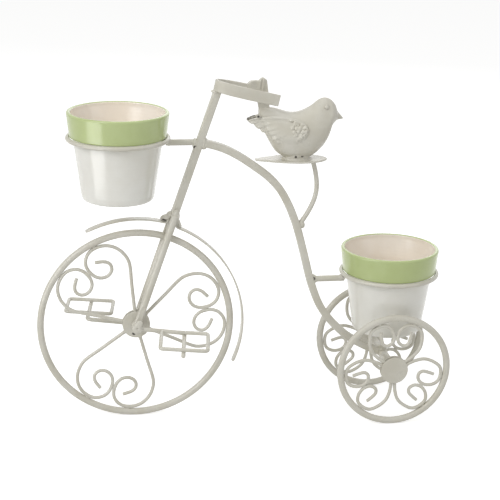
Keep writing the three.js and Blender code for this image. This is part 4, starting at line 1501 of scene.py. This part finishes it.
    def build_saddle(self) -> None:
        """Make the drop-shaped plate with its bullnosed edge."""
        side = [Vector((a * self.saddle_length, o * self.saddle_width / 2)) for a, o in self.saddle_shares]
        turned = [Vector((p.x, -p.y)) for p in side]
        loop = smooth_route([*turned, Vector((self.saddle_length, 0)), *reversed(side)], 120)
        loop.insert(0, loop[-1].lerp(loop[0], 0.5))
        beside = zip([loop[-1], *loop], [*loop[1:], loop[0]])
        ways = [(after - before).normalized() for before, after in beside]
        outline = [(point, Vector((way.y, -way.x))) for point, way in zip(loop, ways)]
        rings, half, soft = [], self.saddle / 2, self.saddle_soft
        for angle in (-90, -60, -30, 0, 30, 60, 90):
            turn = math.radians(angle)
            flat = math.copysign(half - soft, angle) if angle else 0
            inset, up = soft * (1 - math.cos(turn)), soft * math.sin(turn) + flat
            height = self.saddle_top - half + up
            ring = [point - normal * inset for point, normal in outline]
            rings.append([Vector((self.saddle_nose + point.x, point.y, height)) for point in ring])
        plate = skin("saddle_plate", rings)
        with editing(plate) as mesh:
            bpy.ops.mesh.select_all(action="DESELECT")
            bpy.ops.mesh.select_mode(type="FACE")
            for face in mesh.faces:
                face.select_set(len(face.verts) > 8)
            bpy.ops.mesh.inset(thickness=0.9 * MM)
            bpy.ops.mesh.select_mode(type="VERT")
        self.dress(plate, "saddle", sharp=50)

    def build_post(self) -> None:
        """Bend the round post between the saddle and the backbone."""
        top = Vector((self.post_top, 0, self.saddle_top - self.saddle))
        foot = self.backbone_at(self.post_foot)
        across = Vector((top.z - foot.z, 0, foot.x - top.x)).normalized()
        bulge = [top.lerp(foot, down) + across * (out * self.post_bulge) for down, out in self.post_shares]
        route = smooth_route([top, *bulge, foot], 44)
        post = swept("post_rod", route, round_section(self.post / 2, 20), Y_AXIS, rounding=0.3)
        self.dress(post, "saddle_post", sharp=60)


# Bird


def bell(value: float, middle: float, spread: float) -> float:
    """Give the height of a bell curve, which is 1 at its middle."""
    return math.exp(-(((value - middle) / spread) ** 2))


@dataclass
class Bird(SubAssembly):
    """A bird of pressed and welded sheet on the saddle, its beak to the rear."""

    root: Vector
    length: float = 89.0
    height: float = 63.6
    width: float = 38.0
    taper: float = 0.24
    tail: float = 5.0
    tail_rise: float = 85.5
    tail_length: float = 24.0
    tail_overhang: float = 14.4
    tail_corner: float = 1.4
    tail_focus: Point = (2.0, 40.0)
    tail_fold: Point = (2.6, 81.6)
    flute_depth: float = 0.6
    fold_depth: float = 1.1
    wing_sheet: float = 2.0
    wing_seat: float = 0.25
    feather_end: float = 1.5
    notch_depth: float = 2.1
    notched: Point = (-9.0, 22.0)
    bump_start: Point = (30.4, 17.6)
    bump_pitch: Point = (4.1, 3.55)
    bump_radius: float = 2.1
    bump_height: float = 1.35
    rim_height: float = 1.0
    crack: Point = (-12.3, -3.4)
    crack_width: float = 0.8
    eye_shares: Point = (0.79, 0.86)
    body_shares: Shares = (
        (0, 0.66, 0.87, 0.1), (0.04, 0.54, 0.87, 0.16), (0.085, 0.4, 0.865, 0.23), (0.14, 0.26, 0.85, 0.31),
        (0.2, 0.135, 0.835, 0.385), (0.27, 0.058, 0.805, 0.445), (0.35, 0.014, 0.775, 0.488),
        (0.44, 0, 0.772, 0.5), (0.53, 0.004, 0.81, 0.495), (0.62, 0.038, 0.876, 0.465),
        (0.7, 0.112, 0.966, 0.42), (0.765, 0.205, 1, 0.375), (0.82, 0.34, 0.985, 0.33),
        (0.865, 0.53, 0.945, 0.27), (0.905, 0.6, 0.872, 0.185), (0.935, 0.628, 0.77, 0.095),
        (0.965, 0.636, 0.718, 0.058), (1, 0.645, 0.66, 0.012),
    )
    wing_shares: Shares = (
        (-0.136, 0.64, 0.652, 0.05), (-0.112, 0.606, 0.672, 0.08), (-0.056, 0.553, 0.7, 0.15),
        (-0.006, 0.5, 0.711, 0.23), (0.045, 0.445, 0.718, 0.31), (0.101, 0.391, 0.726, 0.37),
        (0.169, 0.312, 0.73, 0.42), (0.258, 0.268, 0.723, 0.45), (0.337, 0.262, 0.701, 0.45),
        (0.427, 0.268, 0.673, 0.45), (0.5, 0.311, 0.637, 0.45), (0.539, 0.38, 0.593, 0.45),
        (0.562, 0.451, 0.52, 0.45),
    )
    tail_shares: Shares = (
        (0.66, 0.5), (0.585, 0.62), (0.53, 0.7), (0.02, 0.912), (0.24, 0.958), (0.5, 0.962), (0.56, 0.958),
        (0.74, 1), (0.92, 0.962), (0.99, 0.82), (1.05, 0.64), (1.1, 0.56),
    )
    notches: tuple[float, ...] = (-12.5, -5.8, 0.5, 4.8, 9.0, 14.2, 19.7, 25.5)
    feathers: Shares = (
        (-5.8, 37.0, 5.0, 41.0), (0.5, 32.6, 13.0, 38.4), (4.8, 28.4, 20.0, 35.0), (9.0, 25.0, 21.0, 30.5),
        (14.2, 20.6, 28.0, 28.6), (19.7, 16.6, 30.0, 21.6), (3.0, 39.6, 19.0, 42.5),
    )

    def __post_init__(self) -> None:
        """Smooth the body's table of sections, and place the bumps on the wing's shoulder."""
        rows = [
            Vector((along * self.length, under * self.height, back * self.height, half * self.width))
            for along, under, back, half in self.body_shares
        ]
        self.sections = smooth_route(rows, 88)
        self.bumps: list[Point] = []
        for row in range(8):
            for column in range(6):
                x = self.bump_start[0] + column * self.bump_pitch[0] + (row % 2) * self.bump_pitch[0] / 2
                z = self.bump_start[1] + row * self.bump_pitch[1]
                x += 0.7 * math.sin(5.1 * row + 2.3 * column)
                z += 0.5 * math.cos(3.7 * row + 1.9 * column)
                if x >= 37.2 - (z - 18) * 0.28:
                    self.bumps.append((x, z))

    def half_width(self, x: float, z: float) -> float:
        """Give the body's half width, in its own millimetres.

        Args:
            x: The place along the bird.
            z: The height above the saddle.

        Returns:
            The half width.
        """
        held = max(0.0, min(self.length - 0.01, x))
        index = next((i for i, row in enumerate(self.sections) if row[0] > held), len(self.sections) - 1)
        before, after = self.sections[index - 1], self.sections[index]
        _, under, back, half = before.lerp(after, (held - before[0]) / max(after[0] - before[0], 1e-6))
        up = max(-1.0, min(1.0, (z - (under + back) / 2) / max((back - under) / 2, 1e-6)))
        return half * math.sqrt(1 - up * up) * (1 - self.taper * up)

    def build(self) -> None:
        """Make and dress the bird."""
        self.build_body()
        self.build_tail()
        for side in Side:
            self.build_wing(side)
            self.build_eye(side)

    def build_body(self) -> None:
        """Loft the egg-shaped body, the head and the beak."""
        rings, count = [], 48
        for x, under, back, half in self.sections:
            ring = []
            for step in range(count):
                angle = math.tau * step / count
                up = math.sin(angle)
                out = math.cos(angle) * (1 - self.taper * up)
                ring.append(self.root + Vector((x, out * half, (under + back) / 2 + up * (back - under) / 2)))
            rings.append(ring)
        self.dress(skin("bird_body_shell", rings), "bird_body", sharp=60)

    def build_tail(self) -> None:
        """Cut the two-lobed tail from thick sheet and press flutes into it."""
        points = [
            Vector((along * self.tail_length - self.tail_overhang, 0, up * self.tail_rise))
            for along, up in self.tail_shares
        ]
        loop, straight = [], 0.25
        for index, here in enumerate(points):
            back, onward = points[index - 1] - here, points[(index + 1) % len(points)] - here
            if abs(back.angle(onward) - math.pi) > straight:
                radius = min(self.tail_corner, 0.3 * min(back.length, onward.length))
                loop += bent_corner(here, back.normalized(), onward.normalized(), radius, 3)
            else:
                loop.append(here)
        half = self.tail / 2
        rings = [[self.root + point + Y_AXIS * aside for point in loop] for aside in (-half, half)]
        tail = fused("bird_tail_plate", [skin("tail_blank", rings)], voxel=0.55, passes=10)
        for vert in tail.data.vertices:
            place = vert.co / MM - self.root
            angle = math.atan2(place.x - self.tail_focus[0], place.z - self.tail_focus[1])
            high = max(0.0, min(1.0, (place.z - 52) / 20))
            along_fold = place.x - self.tail_fold[0] + (self.tail_fold[1] - place.z) * 0.1
            press = self.flute_depth * math.cos(angle * 22) - self.fold_depth * bell(along_fold, 0.0, 0.9)
            vert.co.y += (1 if vert.co.y > 0 else -1) * press * high * MM
        self.dress(tail, "bird_tail", sharp=60)

    def wing_relief(self, x: float, z: float, edge: float, upper: bool) -> float:
        """Give how far the pressed relief stands out of the wing.

        Args:
            x: Place along the bird.
            z: Height above the saddle.
            edge: Distance to the wing's outline.
            upper: Whether the nearest outline is the upper one.

        Returns:
            The relief in millimetres.
        """
        relief, here = 0.0, Vector((x, z))
        for from_x, from_z, to_x, to_z in self.feathers:
            root, way = Vector((from_x, from_z)), Vector((to_x - from_x, to_z - from_z))
            share = (here - root).dot(way) / way.length_squared
            along = max(0.0, min(1.0, share))
            away = here - (root + way * along)
            if away.length > 6:
                continue
            off = (way.x * away.y - way.y * away.x) / way.length
            lift = 0.7 * bell(off, 1.9, 1.6) - 0.38 * bell(off, 0.0, 0.9)
            relief += lift * (1 - along) ** 0.8 * bell((share - along) * way.length, 0.0, self.feather_end)
        if edge >= 1.2:
            for bump_x, bump_z in self.bumps:
                near = 1 - ((x - bump_x) ** 2 + (z - bump_z) ** 2) / self.bump_radius**2
                relief += self.bump_height * max(0.0, near) ** 0.8
        if upper:
            relief += self.rim_height * bell(edge, 1.5, 0.95) - 0.35 * bell(edge, 3.9, 1.1)
        return relief - 0.9 * max(0.0, 1 - edge / 1.3) ** 2

    def scallop(self, x: float) -> float:
        """Give how far the feathers' notches cut into the wing's lower edge.

        Args:
            x: The place along the bird.

        Returns:
            The depth of the cut.
        """
        first, last = self.notched
        for before, after in zip(self.notches, self.notches[1:]):
            if before <= x <= after and first < x < last:
                return self.notch_depth * (1 - math.sin(math.pi * (x - before) / (after - before)) ** 0.6)
        return 0.0

    def build_wing(self, side: Side) -> None:
        """Press a wing: a sheet on the flank with feathers, a raised edge and a dimpled shoulder.

        Args:
            side: The wing's side.
        """
        long, wide = 150, 56
        table = [
            Vector((along * self.length, low * self.height, high * self.height, half * self.width / 2))
            for along, low, high, half in self.wing_shares
        ]
        rows = [(x, low + self.scallop(x), high, half) for x, low, high, half in smooth_route(table, long)]
        outline = KDTree(2 * len(rows))
        for index, (x, low, high, _) in enumerate(rows):
            outline.insert((x, 0, low), index)
            outline.insert((x, 0, high), index + len(rows))
        outline.balance()
        select_only()
        bpy.ops.mesh.primitive_grid_add(x_subdivisions=long, y_subdivisions=wide, size=1)
        wing = bpy.context.object
        wing.name = f"bird_{side.label}_wing_sheet"
        for vert in wing.data.vertices:
            x, low, high, half = rows[min(long, max(0, round((vert.co.x + 0.5) * long)))]
            z = low + (high - low) * (vert.co.y + 0.5)
            _, nearest, edge = outline.find((x, 0, z))
            flank = self.half_width(x, z)
            relief = self.wing_relief(x, z, edge, nearest > long)
            proud = max(flank, half) + SEAT_GAP + self.wing_sheet + relief
            above_hem = z - low if x < 43 else min(z - low, (z - low) * 0.5 + (51 - x))
            held = max(1 - eased((x - 15) / 10), eased(above_hem / 9.5))
            out = flank - self.wing_seat + (proud - flank + self.wing_seat) * held
            vert.co = (self.root + Vector((x, side.value * out, z))) * MM
        with editing(wing) as mesh:
            bpy.ops.mesh.select_all(action="SELECT")
            mesh.normal_update()
            if sum(face.normal.y for face in mesh.faces) * side.value < 0:
                bpy.ops.mesh.flip_normals()
        apply(wing, "SOLIDIFY", thickness=self.wing_sheet * MM, offset=-1.0)

        def crack_at(place: Vector) -> float:
            """Give the painted shadow of the gap along the wing's tip.

            Args:
                place: The place on the wing.

            Returns:
                The painted shadow there.
            """
            local = place - self.root
            _, nearest, edge = outline.find((local.x, 0, local.z))
            cracked = nearest > long and self.crack[0] < local.x < self.crack[1]
            return 1.2 - edge / self.crack_width if cracked else 0.0

        # A thin line of painted shadow along the upper edge of the wing's tip.
        mark(wing, "painted_shade", crack_at)
        self.dress(wing, f"bird_{side.label}_wing", sharp=70)

    def build_eye(self, side: Side) -> None:
        """Turn a bead eye with a soft skirt where it was pressed on.

        Args:
            side: The eye's side.
        """
        x, z = self.eye_shares[0] * self.length - 1.1, self.eye_shares[1] * self.height + 0.3
        seat = self.root + Vector((x, side.value * (self.half_width(x, z) - 0.6), z))
        turns = [math.radians(angle) for angle in (75, 60, 45, 30, 15, 0, -15)]
        bead = [(2.3 * math.cos(turn), 1.0 + 2.1 * math.sin(turn)) for turn in turns]
        points = [(0.0, 3.1), *bead, (2.3, 0.1), (2.7, 0.0), (3.2, -0.3), (2.0, -1.0), (0.0, -1.0)]
        profile = [seat + X_AXIS * r + Y_AXIS * (side.value * h) for r, h in points]
        eye = spun(f"bird_{side.label}_bead_eye", profile, 28, seat, Y_AXIS, closed=False)
        # Painted shade on the lower side of the bead and its skirt.
        shade = seat + Vector((-1.4, side.value * 0.6, -1.5))
        mark(eye, "painted_shade", lambda place: 0.8 * (1.15 - (place - shade).length / 2.0))
        self.dress(eye, f"bird_{side.label}_eye", sharp=60)


# Pots


def arc_points(middle: Point, radius: float, start: float, end: float, steps: int) -> list[Point]:
    """Place points along an arc.

    Args:
        middle: The arc's middle.
        radius: Its radius.
        start: The angle at its start, in degrees.
        end: The angle at its end.
        steps: How many steps it has.

    Returns:
        The points.
    """
    turns = [math.radians(start + (end - start) * i / steps) for i in range(steps + 1)]
    return [(middle[0] + radius * math.cos(turn), middle[1] + radius * math.sin(turn)) for turn in turns]


def line_points(start: Point, end: Point, steps: int) -> list[Point]:
    """Place points along a straight line, ends included."""
    (x, z), (to_x, to_z) = start, end
    return [(x + (to_x - x) * i / steps, z + (to_z - z) * i / steps) for i in range(steps + 1)]


@dataclass
class Pot(SubAssembly):
    """A glazed pot: a white body, a wider green collar and a cream inside."""

    label: str
    base: Vector
    height: float = 91.7
    rim_radius: float = 52.3
    collar_height: float = 25.5
    collar_foot: float = 49.8
    body_radius: float = 46.2
    base_radius: float = 36.8
    wall: float = 4.2
    floor: float = 5.0
    foot_round: float = 3.6
    rim_round: float = 1.9
    base_hollow: float = 0.9

    def profile(self) -> list[tuple[float, float, float, float]]:
        """Trace the section from under the base, up the outside and down the inside.

        Returns:
            Rows of radius, height, and the marks of the green and the cream glaze.
        """
        top, rim, shoulder, base = self.height, self.rim_radius, self.body_radius, self.base_radius
        foot, collar, inside = top - self.collar_height, self.collar_foot, rim - self.wall
        floor, hollow = self.floor, self.base_hollow
        slope = (shoulder - base) / foot
        turn = base - self.wall + slope * floor
        white = [(0.0, hollow), (14.0, hollow), (26.0, hollow), (base - 7.2, hollow), (base - 6.2, 0.3)]
        white += arc_points((base - 3.4, self.foot_round), self.foot_round, -88, -8, 8)
        white += line_points((base + slope * 4.6, 4.6), (shoulder - 0.1, foot - 1.4), 14)
        white += [(shoulder + 0.1, foot - 0.5), (shoulder + 0.8, foot - 0.05), (collar - 1.4, foot)]
        green = [(collar - 0.9, foot), *arc_points((collar - 0.8, foot + 0.8), 0.8, -70, 0, 4)]
        green += line_points((collar + 0.1, foot + 2.2), (rim - 0.05, top - 2.4), 8)
        green += arc_points((rim - self.rim_round, top - self.rim_round), self.rim_round, 10, 90, 6)
        green += arc_points((inside + 1.7, top - 1.7), 1.7, 90, 140, 3)
        cream = arc_points((inside + 1.5, top - 1.75), 1.6, 146, 180, 3)
        wall_foot = shoulder - self.wall
        cream += line_points((inside - 0.3, top - 4.2), (wall_foot + 0.2, foot + 1.0), 8)
        cream += line_points((wall_foot - 0.2, foot - 1.0), (base - self.wall + slope * 12, 12.0), 10)
        cream += [(turn - 0.6, floor + 3.6), (turn - 2.0, floor + 1.6), (turn - 4.4, floor + 0.4)]
        cream += [(turn - 8.0, floor), (16.0, floor), (0.0, floor)]
        zones = ((white, 0.0, 0.0), (green, 1.0, 0.0), (cream, 0.0, 1.0))
        return [(r, z, is_green, is_cream) for rows, is_green, is_cream in zones for r, z in rows]

    def build(self) -> None:
        """Turn the pot, and mark which glaze each part of it wears."""
        rows = self.profile()
        points = [self.base + X_AXIS * r + Z_AXIS * z for r, z, _, _ in rows]
        pot = spun(f"{self.label}_glazed_pot", points, 128, self.base, Z_AXIS, closed=False)
        tree = KDTree(len(rows))
        for index, (r, z, _, _) in enumerate(rows):
            tree.insert((r, 0, z), index)
        tree.balance()

        def row_at(place: Vector) -> tuple[float, float, float, float]:
            """Find the profile's row nearest to a place."""
            local = place - self.base
            return rows[tree.find((math.hypot(local.x, local.y), 0, local.z))[1]]

        mark(pot, "green", lambda place: row_at(place)[2])
        mark(pot, "cream", lambda place: row_at(place)[3])
        self.dress(pot, f"{self.label}_pot", sharp=50)


# Studio


@dataclass(frozen=True)
class Lamp:
    """A soft square lamp, sized in metres and watts, that may show in gloss and light nothing matt."""

    name: str
    at: Place
    width: float
    watts: float
    towards: Place = (0.0, 0.0, 0.15)
    gloss_only: bool = False

    def hang(self) -> None:
        """Hang the lamp."""
        data = bpy.data.lights.new(self.name, "AREA")
        data.shape, data.energy = "RECTANGLE", self.watts
        data.size = data.size_y = self.width
        light = bpy.data.objects.new(self.name, data)
        bpy.context.scene.collection.objects.link(light)
        light.location = self.at
        light.rotation_euler = (Vector(self.towards) - Vector(self.at)).to_track_quat("-Z", "Y").to_euler()
        light.visible_diffuse = not self.gloss_only


@dataclass
class Studio:
    """The camera at the photograph's angle, soft lamps, a white world and a pale floor."""

    eye: Place = (-0.25176, -1.49198, 0.65178)
    yaw: float = -9.837
    pitch: float = 17.227
    roll: float = 1.412
    lens: float = 108.0
    sensor: float = 36.0
    ambient: float = 0.45
    floor_width: float = 12.0
    floor_tone: Rgba = tone(232, 232, 231)
    floor_glow: float = 0.58
    white: Rgba = (1.0, 1.0, 1.0, 1.0)
    lamps: tuple[Lamp, ...] = (
        Lamp("key", (-1.35, -0.95, 1.25), 1.0, 13.5),
        Lamp("top", (0.05, -0.2, 1.7), 1.2, 5.0),
        Lamp("back", (0.5, 1.5, 1.1), 1.2, 4.0),
        Lamp("card", (-0.46, -0.2, 0.19), 0.24, 0.6, towards=(-0.132, 0.0, 0.31), gloss_only=True),
        Lamp("fill", (1.2, -1.0, 0.8), 1.0, 1.8),
    )

    def build(self) -> None:
        """Set the camera, the lamps, the world and the floor."""
        self.build_camera()
        for lamp in self.lamps:
            lamp.hang()
        self.build_world()
        self.build_floor()
        bpy.context.scene.view_settings.view_transform = "Standard"

    def build_camera(self) -> None:
        """Set the camera by its yaw, pitch and roll."""
        yaw, pitch, roll = (math.radians(value) for value in (self.yaw, self.pitch, self.roll))
        level = Vector((math.cos(yaw), math.sin(yaw), 0))
        ahead = Vector((-math.sin(yaw) * math.cos(pitch), math.cos(yaw) * math.cos(pitch), -math.sin(pitch)))
        upright = level.cross(ahead)
        right = level * math.cos(roll) + upright * math.sin(roll)
        up = upright * math.cos(roll) - level * math.sin(roll)
        data = bpy.data.cameras.new("camera")
        data.lens, data.sensor_width, data.clip_start, data.clip_end = self.lens, self.sensor, 0.05, 50.0
        camera = bpy.data.objects.new("camera", data)
        bpy.context.scene.collection.objects.link(camera)
        place = Matrix((right, up, -ahead)).transposed().to_4x4()
        place.translation = Vector(self.eye)
        camera.matrix_world = place
        bpy.context.scene.camera = camera

    @staticmethod
    def seen(wiring: Wiring) -> NodeSocket:
        """Tell whether a ray is the camera's own, or shows in gloss or glass.

        Args:
            wiring: The wiring to add the test to.

        Returns:
            1 for such a ray and 0 for any other.
        """
        path = wiring.add("LightPath").outputs
        both = wiring.math("MAXIMUM", path["Is Camera Ray"], path["Is Glossy Ray"])
        return wiring.math("MAXIMUM", both, path["Is Transmission Ray"])

    def build_world(self) -> None:
        """Make a world that lights softly and looks white."""
        world = bpy.data.worlds.new("studio")
        bpy.context.scene.world = world
        world.use_nodes = True
        wiring = Wiring(world.node_tree)
        shade = world.node_tree.nodes["Background"]
        shade.inputs["Color"].default_value = self.white
        strength = wiring.add("MapRange", Value=self.seen(wiring), To_Min=self.ambient, To_Max=1.0)
        wiring.feed(shade.inputs["Strength"], strength.outputs[0])

    def build_floor(self) -> None:
        """Lay a wide pale floor that keeps the shadow."""
        select_only()
        bpy.ops.mesh.primitive_plane_add(size=self.floor_width)
        floor = bpy.context.object
        floor.name = "floor"
        material = bpy.data.materials.new("pale_floor")
        material.use_nodes = True
        wiring, nodes = Wiring(material.node_tree), material.node_tree.nodes
        nodes.remove(nodes["Principled BSDF"])
        matt = wiring.add("BsdfDiffuse", Color=self.floor_tone)
        glow = wiring.math("MULTIPLY", self.seen(wiring), self.floor_glow)
        light = wiring.add("Emission", Color=self.white, Strength=glow)
        both = wiring.add("AddShader")
        wiring.feed(both.inputs[0], matt.outputs[0])
        wiring.feed(both.inputs[1], light.outputs[0])
        wiring.feed(nodes["Material Output"].inputs["Surface"], both.outputs[0])
        floor.data.materials.append(material)


# The whole planter


def frame_welds() -> list[Lump]:
    """List the frame's weld lumps, with the pinholes and the crack that show in them.

    Returns:
        The weld lumps.
    """

    def hole(x: float, y: float, z: float, radius: float, painted_shade: float = 1.2) -> tuple[Pit, ...]:
        """Make the single pit of a pinhole."""
        return (Pit(Vector((x, y, z)), radius, painted_shade),)

    # This crack under the crown's front lump, and the pinholes below, are painted near black: painted shade.
    crack = tuple(Pit(Vector((-87.6 + 1.25 * i, -5.2, 219.8 - 0.55 * i)), 1.35, 1.3) for i in range(7))
    crown = [
        Lump((-82.6, -0.6, 220.6), (6.3, 5.1, 3.4), -12, crack),
        Lump((-78.8, -0.4, 223.0), (3.4, 4.6, 4.2), 18),
        Lump((-73.4, -6.6, 224.6), (3.7, 3.9, 6.0), 18),
        Lump((-73.4, 6.6, 224.6), (3.7, 3.9, 6.0), 18),
        Lump((-70.2, 0, 220.0), (1.8, 4.4, 6.0), 10),
        Lump((-69.4, 0, 214.6), (2.2, 4.7, 4.4), -18),
        Lump((-68.9, 0, 211.6), (2.6, 5.5, 3.2), -45),
    ]
    stem = [
        Lump((-32.6, 0, 352.2), (5.2, 4.8, 1.9), 12),
        Lump((-43.6, 0, 302.6), (3.6, 4.3, 2.6), 30),
        Lump((-44.2, 0, 295.6), (3.6, 4.3, 3.4), 45),
        Lump((-43.9, -3.2, 299.4), (1.7, 1.4, 4.4), 18),
        Lump((-53.8, 0, 300.0), (2.8, 4.3, 4.2), 18),
        Lump((-53.8, -2.8, 297.2), (2.3, 2.2, 3.4), 18, hole(-53.6, -4.9, 295.4, 2.0)),
    ]
    arms = [
        Lump((-84.0, -1.6, 302.9), (3.2, 3.8, 2.8), 0, hole(-85.8, -5.0, 303.6, 1.9)),
        Lump((-80.4, 0, 300.2), (4.4, 3.75, 3.75)),
        Lump((77.2, 0, 148.4), (3.4, 4.4, 5.0), -20, hole(75.9, -4.4, 149.6, 2.0)),
        Lump((109.4, -0.8, 150.2), (3.0, 3.6, 3.2), 0, hole(108.6, -4.0, 151.2, 1.3, 1.0)),
        Lump((106.6, 0, 148.4), (4.2, 3.75, 3.75)),
    ]
    seat = [
        Lump((61.4, 0, 209.6), (3.6, 3.9, 4.8), -25),
        Lump((71.0, 0, 278.8), (4.0, 4.0, 1.8)),
        Lump((10.8, -8.6, 328.0), (2.4, 2.6, 1.9), 0, hole(10.2, -11.0, 328.4, 1.6, 1.3)),
    ]
    rear = [Lump((156.0, 0, 64.6), (6.0, 5.5, 4.2)), Lump((150.8, 0, 64.4), (3.5, 4.6, 4.0), 20)]
    return [*crown, *stem, *arms, *seat, *rear]


def hub_welds(axle: Vector) -> list[Lump]:
    """List the buttons of weld that close the cranks' bosses over the ends of the front axle.

    Args:
        axle: The middle of the front axle.

    Returns:
        The weld lumps.
    """
    lumps, boss_face = [], 17.4

    def beside(side: Side, x: float, inward: float, z: float) -> Vector:
        """Find a place by one end of the axle."""
        return Vector((axle.x + x, side.value * (boss_face - inward), axle.z + z))

    for side in Side:
        # A faint painted shade in each dimple, and a crack of painted shadow below each button.
        dimple = (Pit(beside(side, -0.4, -2.1, 1.0), 1.5, 0.12),)
        crack = tuple(Pit(beside(side, -5.6 + 0.9 * i, 0.1, -4.6 - 0.6 * i), 1.35, 1.2) for i in range(5))
        lumps.append(Lump(tuple(beside(side, 0, 0, 0)), (5.5, 2.2, 5.5), 0, dimple))
        lumps.append(Lump(tuple(beside(side, 2.0, 0.6, 5.0)), (3.6, 1.9, 4.6), 18))
        lumps.append(Lump(tuple(beside(side, -3.0, 1.8, -4.4)), (3.6, 2.1, 2.2), -40, crack))
    return lumps


def main() -> None:
    """Build each sub-assembly in order and report it."""
    logging.basicConfig(level=logging.INFO, format="%(name)s: %(message)s")
    Studio().build()
    sprayed, light_masks = sprayed_coat(), painted_light_masks()
    paint = SatinPaint().build(sprayed, light_masks)
    glaze = PotGlaze().build(sprayed, light_masks)
    front_axle, rear_axle = Vector((-113.5, 0, 104)), Vector((156, 0, 61.5))
    wheels: list[ScrollWheel] = [
        FrontWheel(
            Body.FRONT_WHEEL, paint, "front", front_axle, front_axle.z, FRONT_LOBES,
            first_angle=11.0, start=WireStart.RADIAL,
        )
    ]
    for side, body in ((Side.LEFT, Body.LEFT_REAR_WHEEL), (Side.RIGHT, Body.RIGHT_REAR_WHEEL)):
        centre = rear_axle + Y_AXIS * (side.value * REAR_TRACK / 2)
        wheels.append(
            RearWheel(
                body, paint, f"{side.label}_rear", centre, centre.z, REAR_LOBES,
                first_angle=89.0, start=WireStart.EDGE, side=side,
            )
        )
    for wheel in wheels:
        wheel.build()
        Welds(wheel.body, paint, f"{wheel.prefix}_welds", wheel.weld_lumps(), melted=False).build()
    for side, drop in ((Side.LEFT, 0.6), (Side.RIGHT, 5.2)):
        CrankAndPedal(Body.FRONT_WHEEL, paint, side, drop, front_axle).build()
    Welds(Body.FRONT_WHEEL, paint, "crank_welds", hub_welds(front_axle)).build()
    Frame(Body.FRAME, paint, front_axle, rear_axle).build()
    Bird(Body.FRAME, paint, Vector((12.5, 0, 281.8))).build()
    Welds(Body.FRAME, paint, "frame_welds", frame_welds()).build()
    BirdSkirt(Body.FRAME, paint).build()
    Pot(Body.FRONT_POT, glaze, "front", Vector((FRONT_POT_X, 0, 241.8))).build()
    Pot(Body.REAR_POT, glaze, "rear", Vector((REAR_POT_X, 0, 90.0))).build()
    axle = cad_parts["front_axle"]
    axle.data.materials.clear()
    axle.data.materials.append(paint.material)


if __name__ == "__main__":
    main()
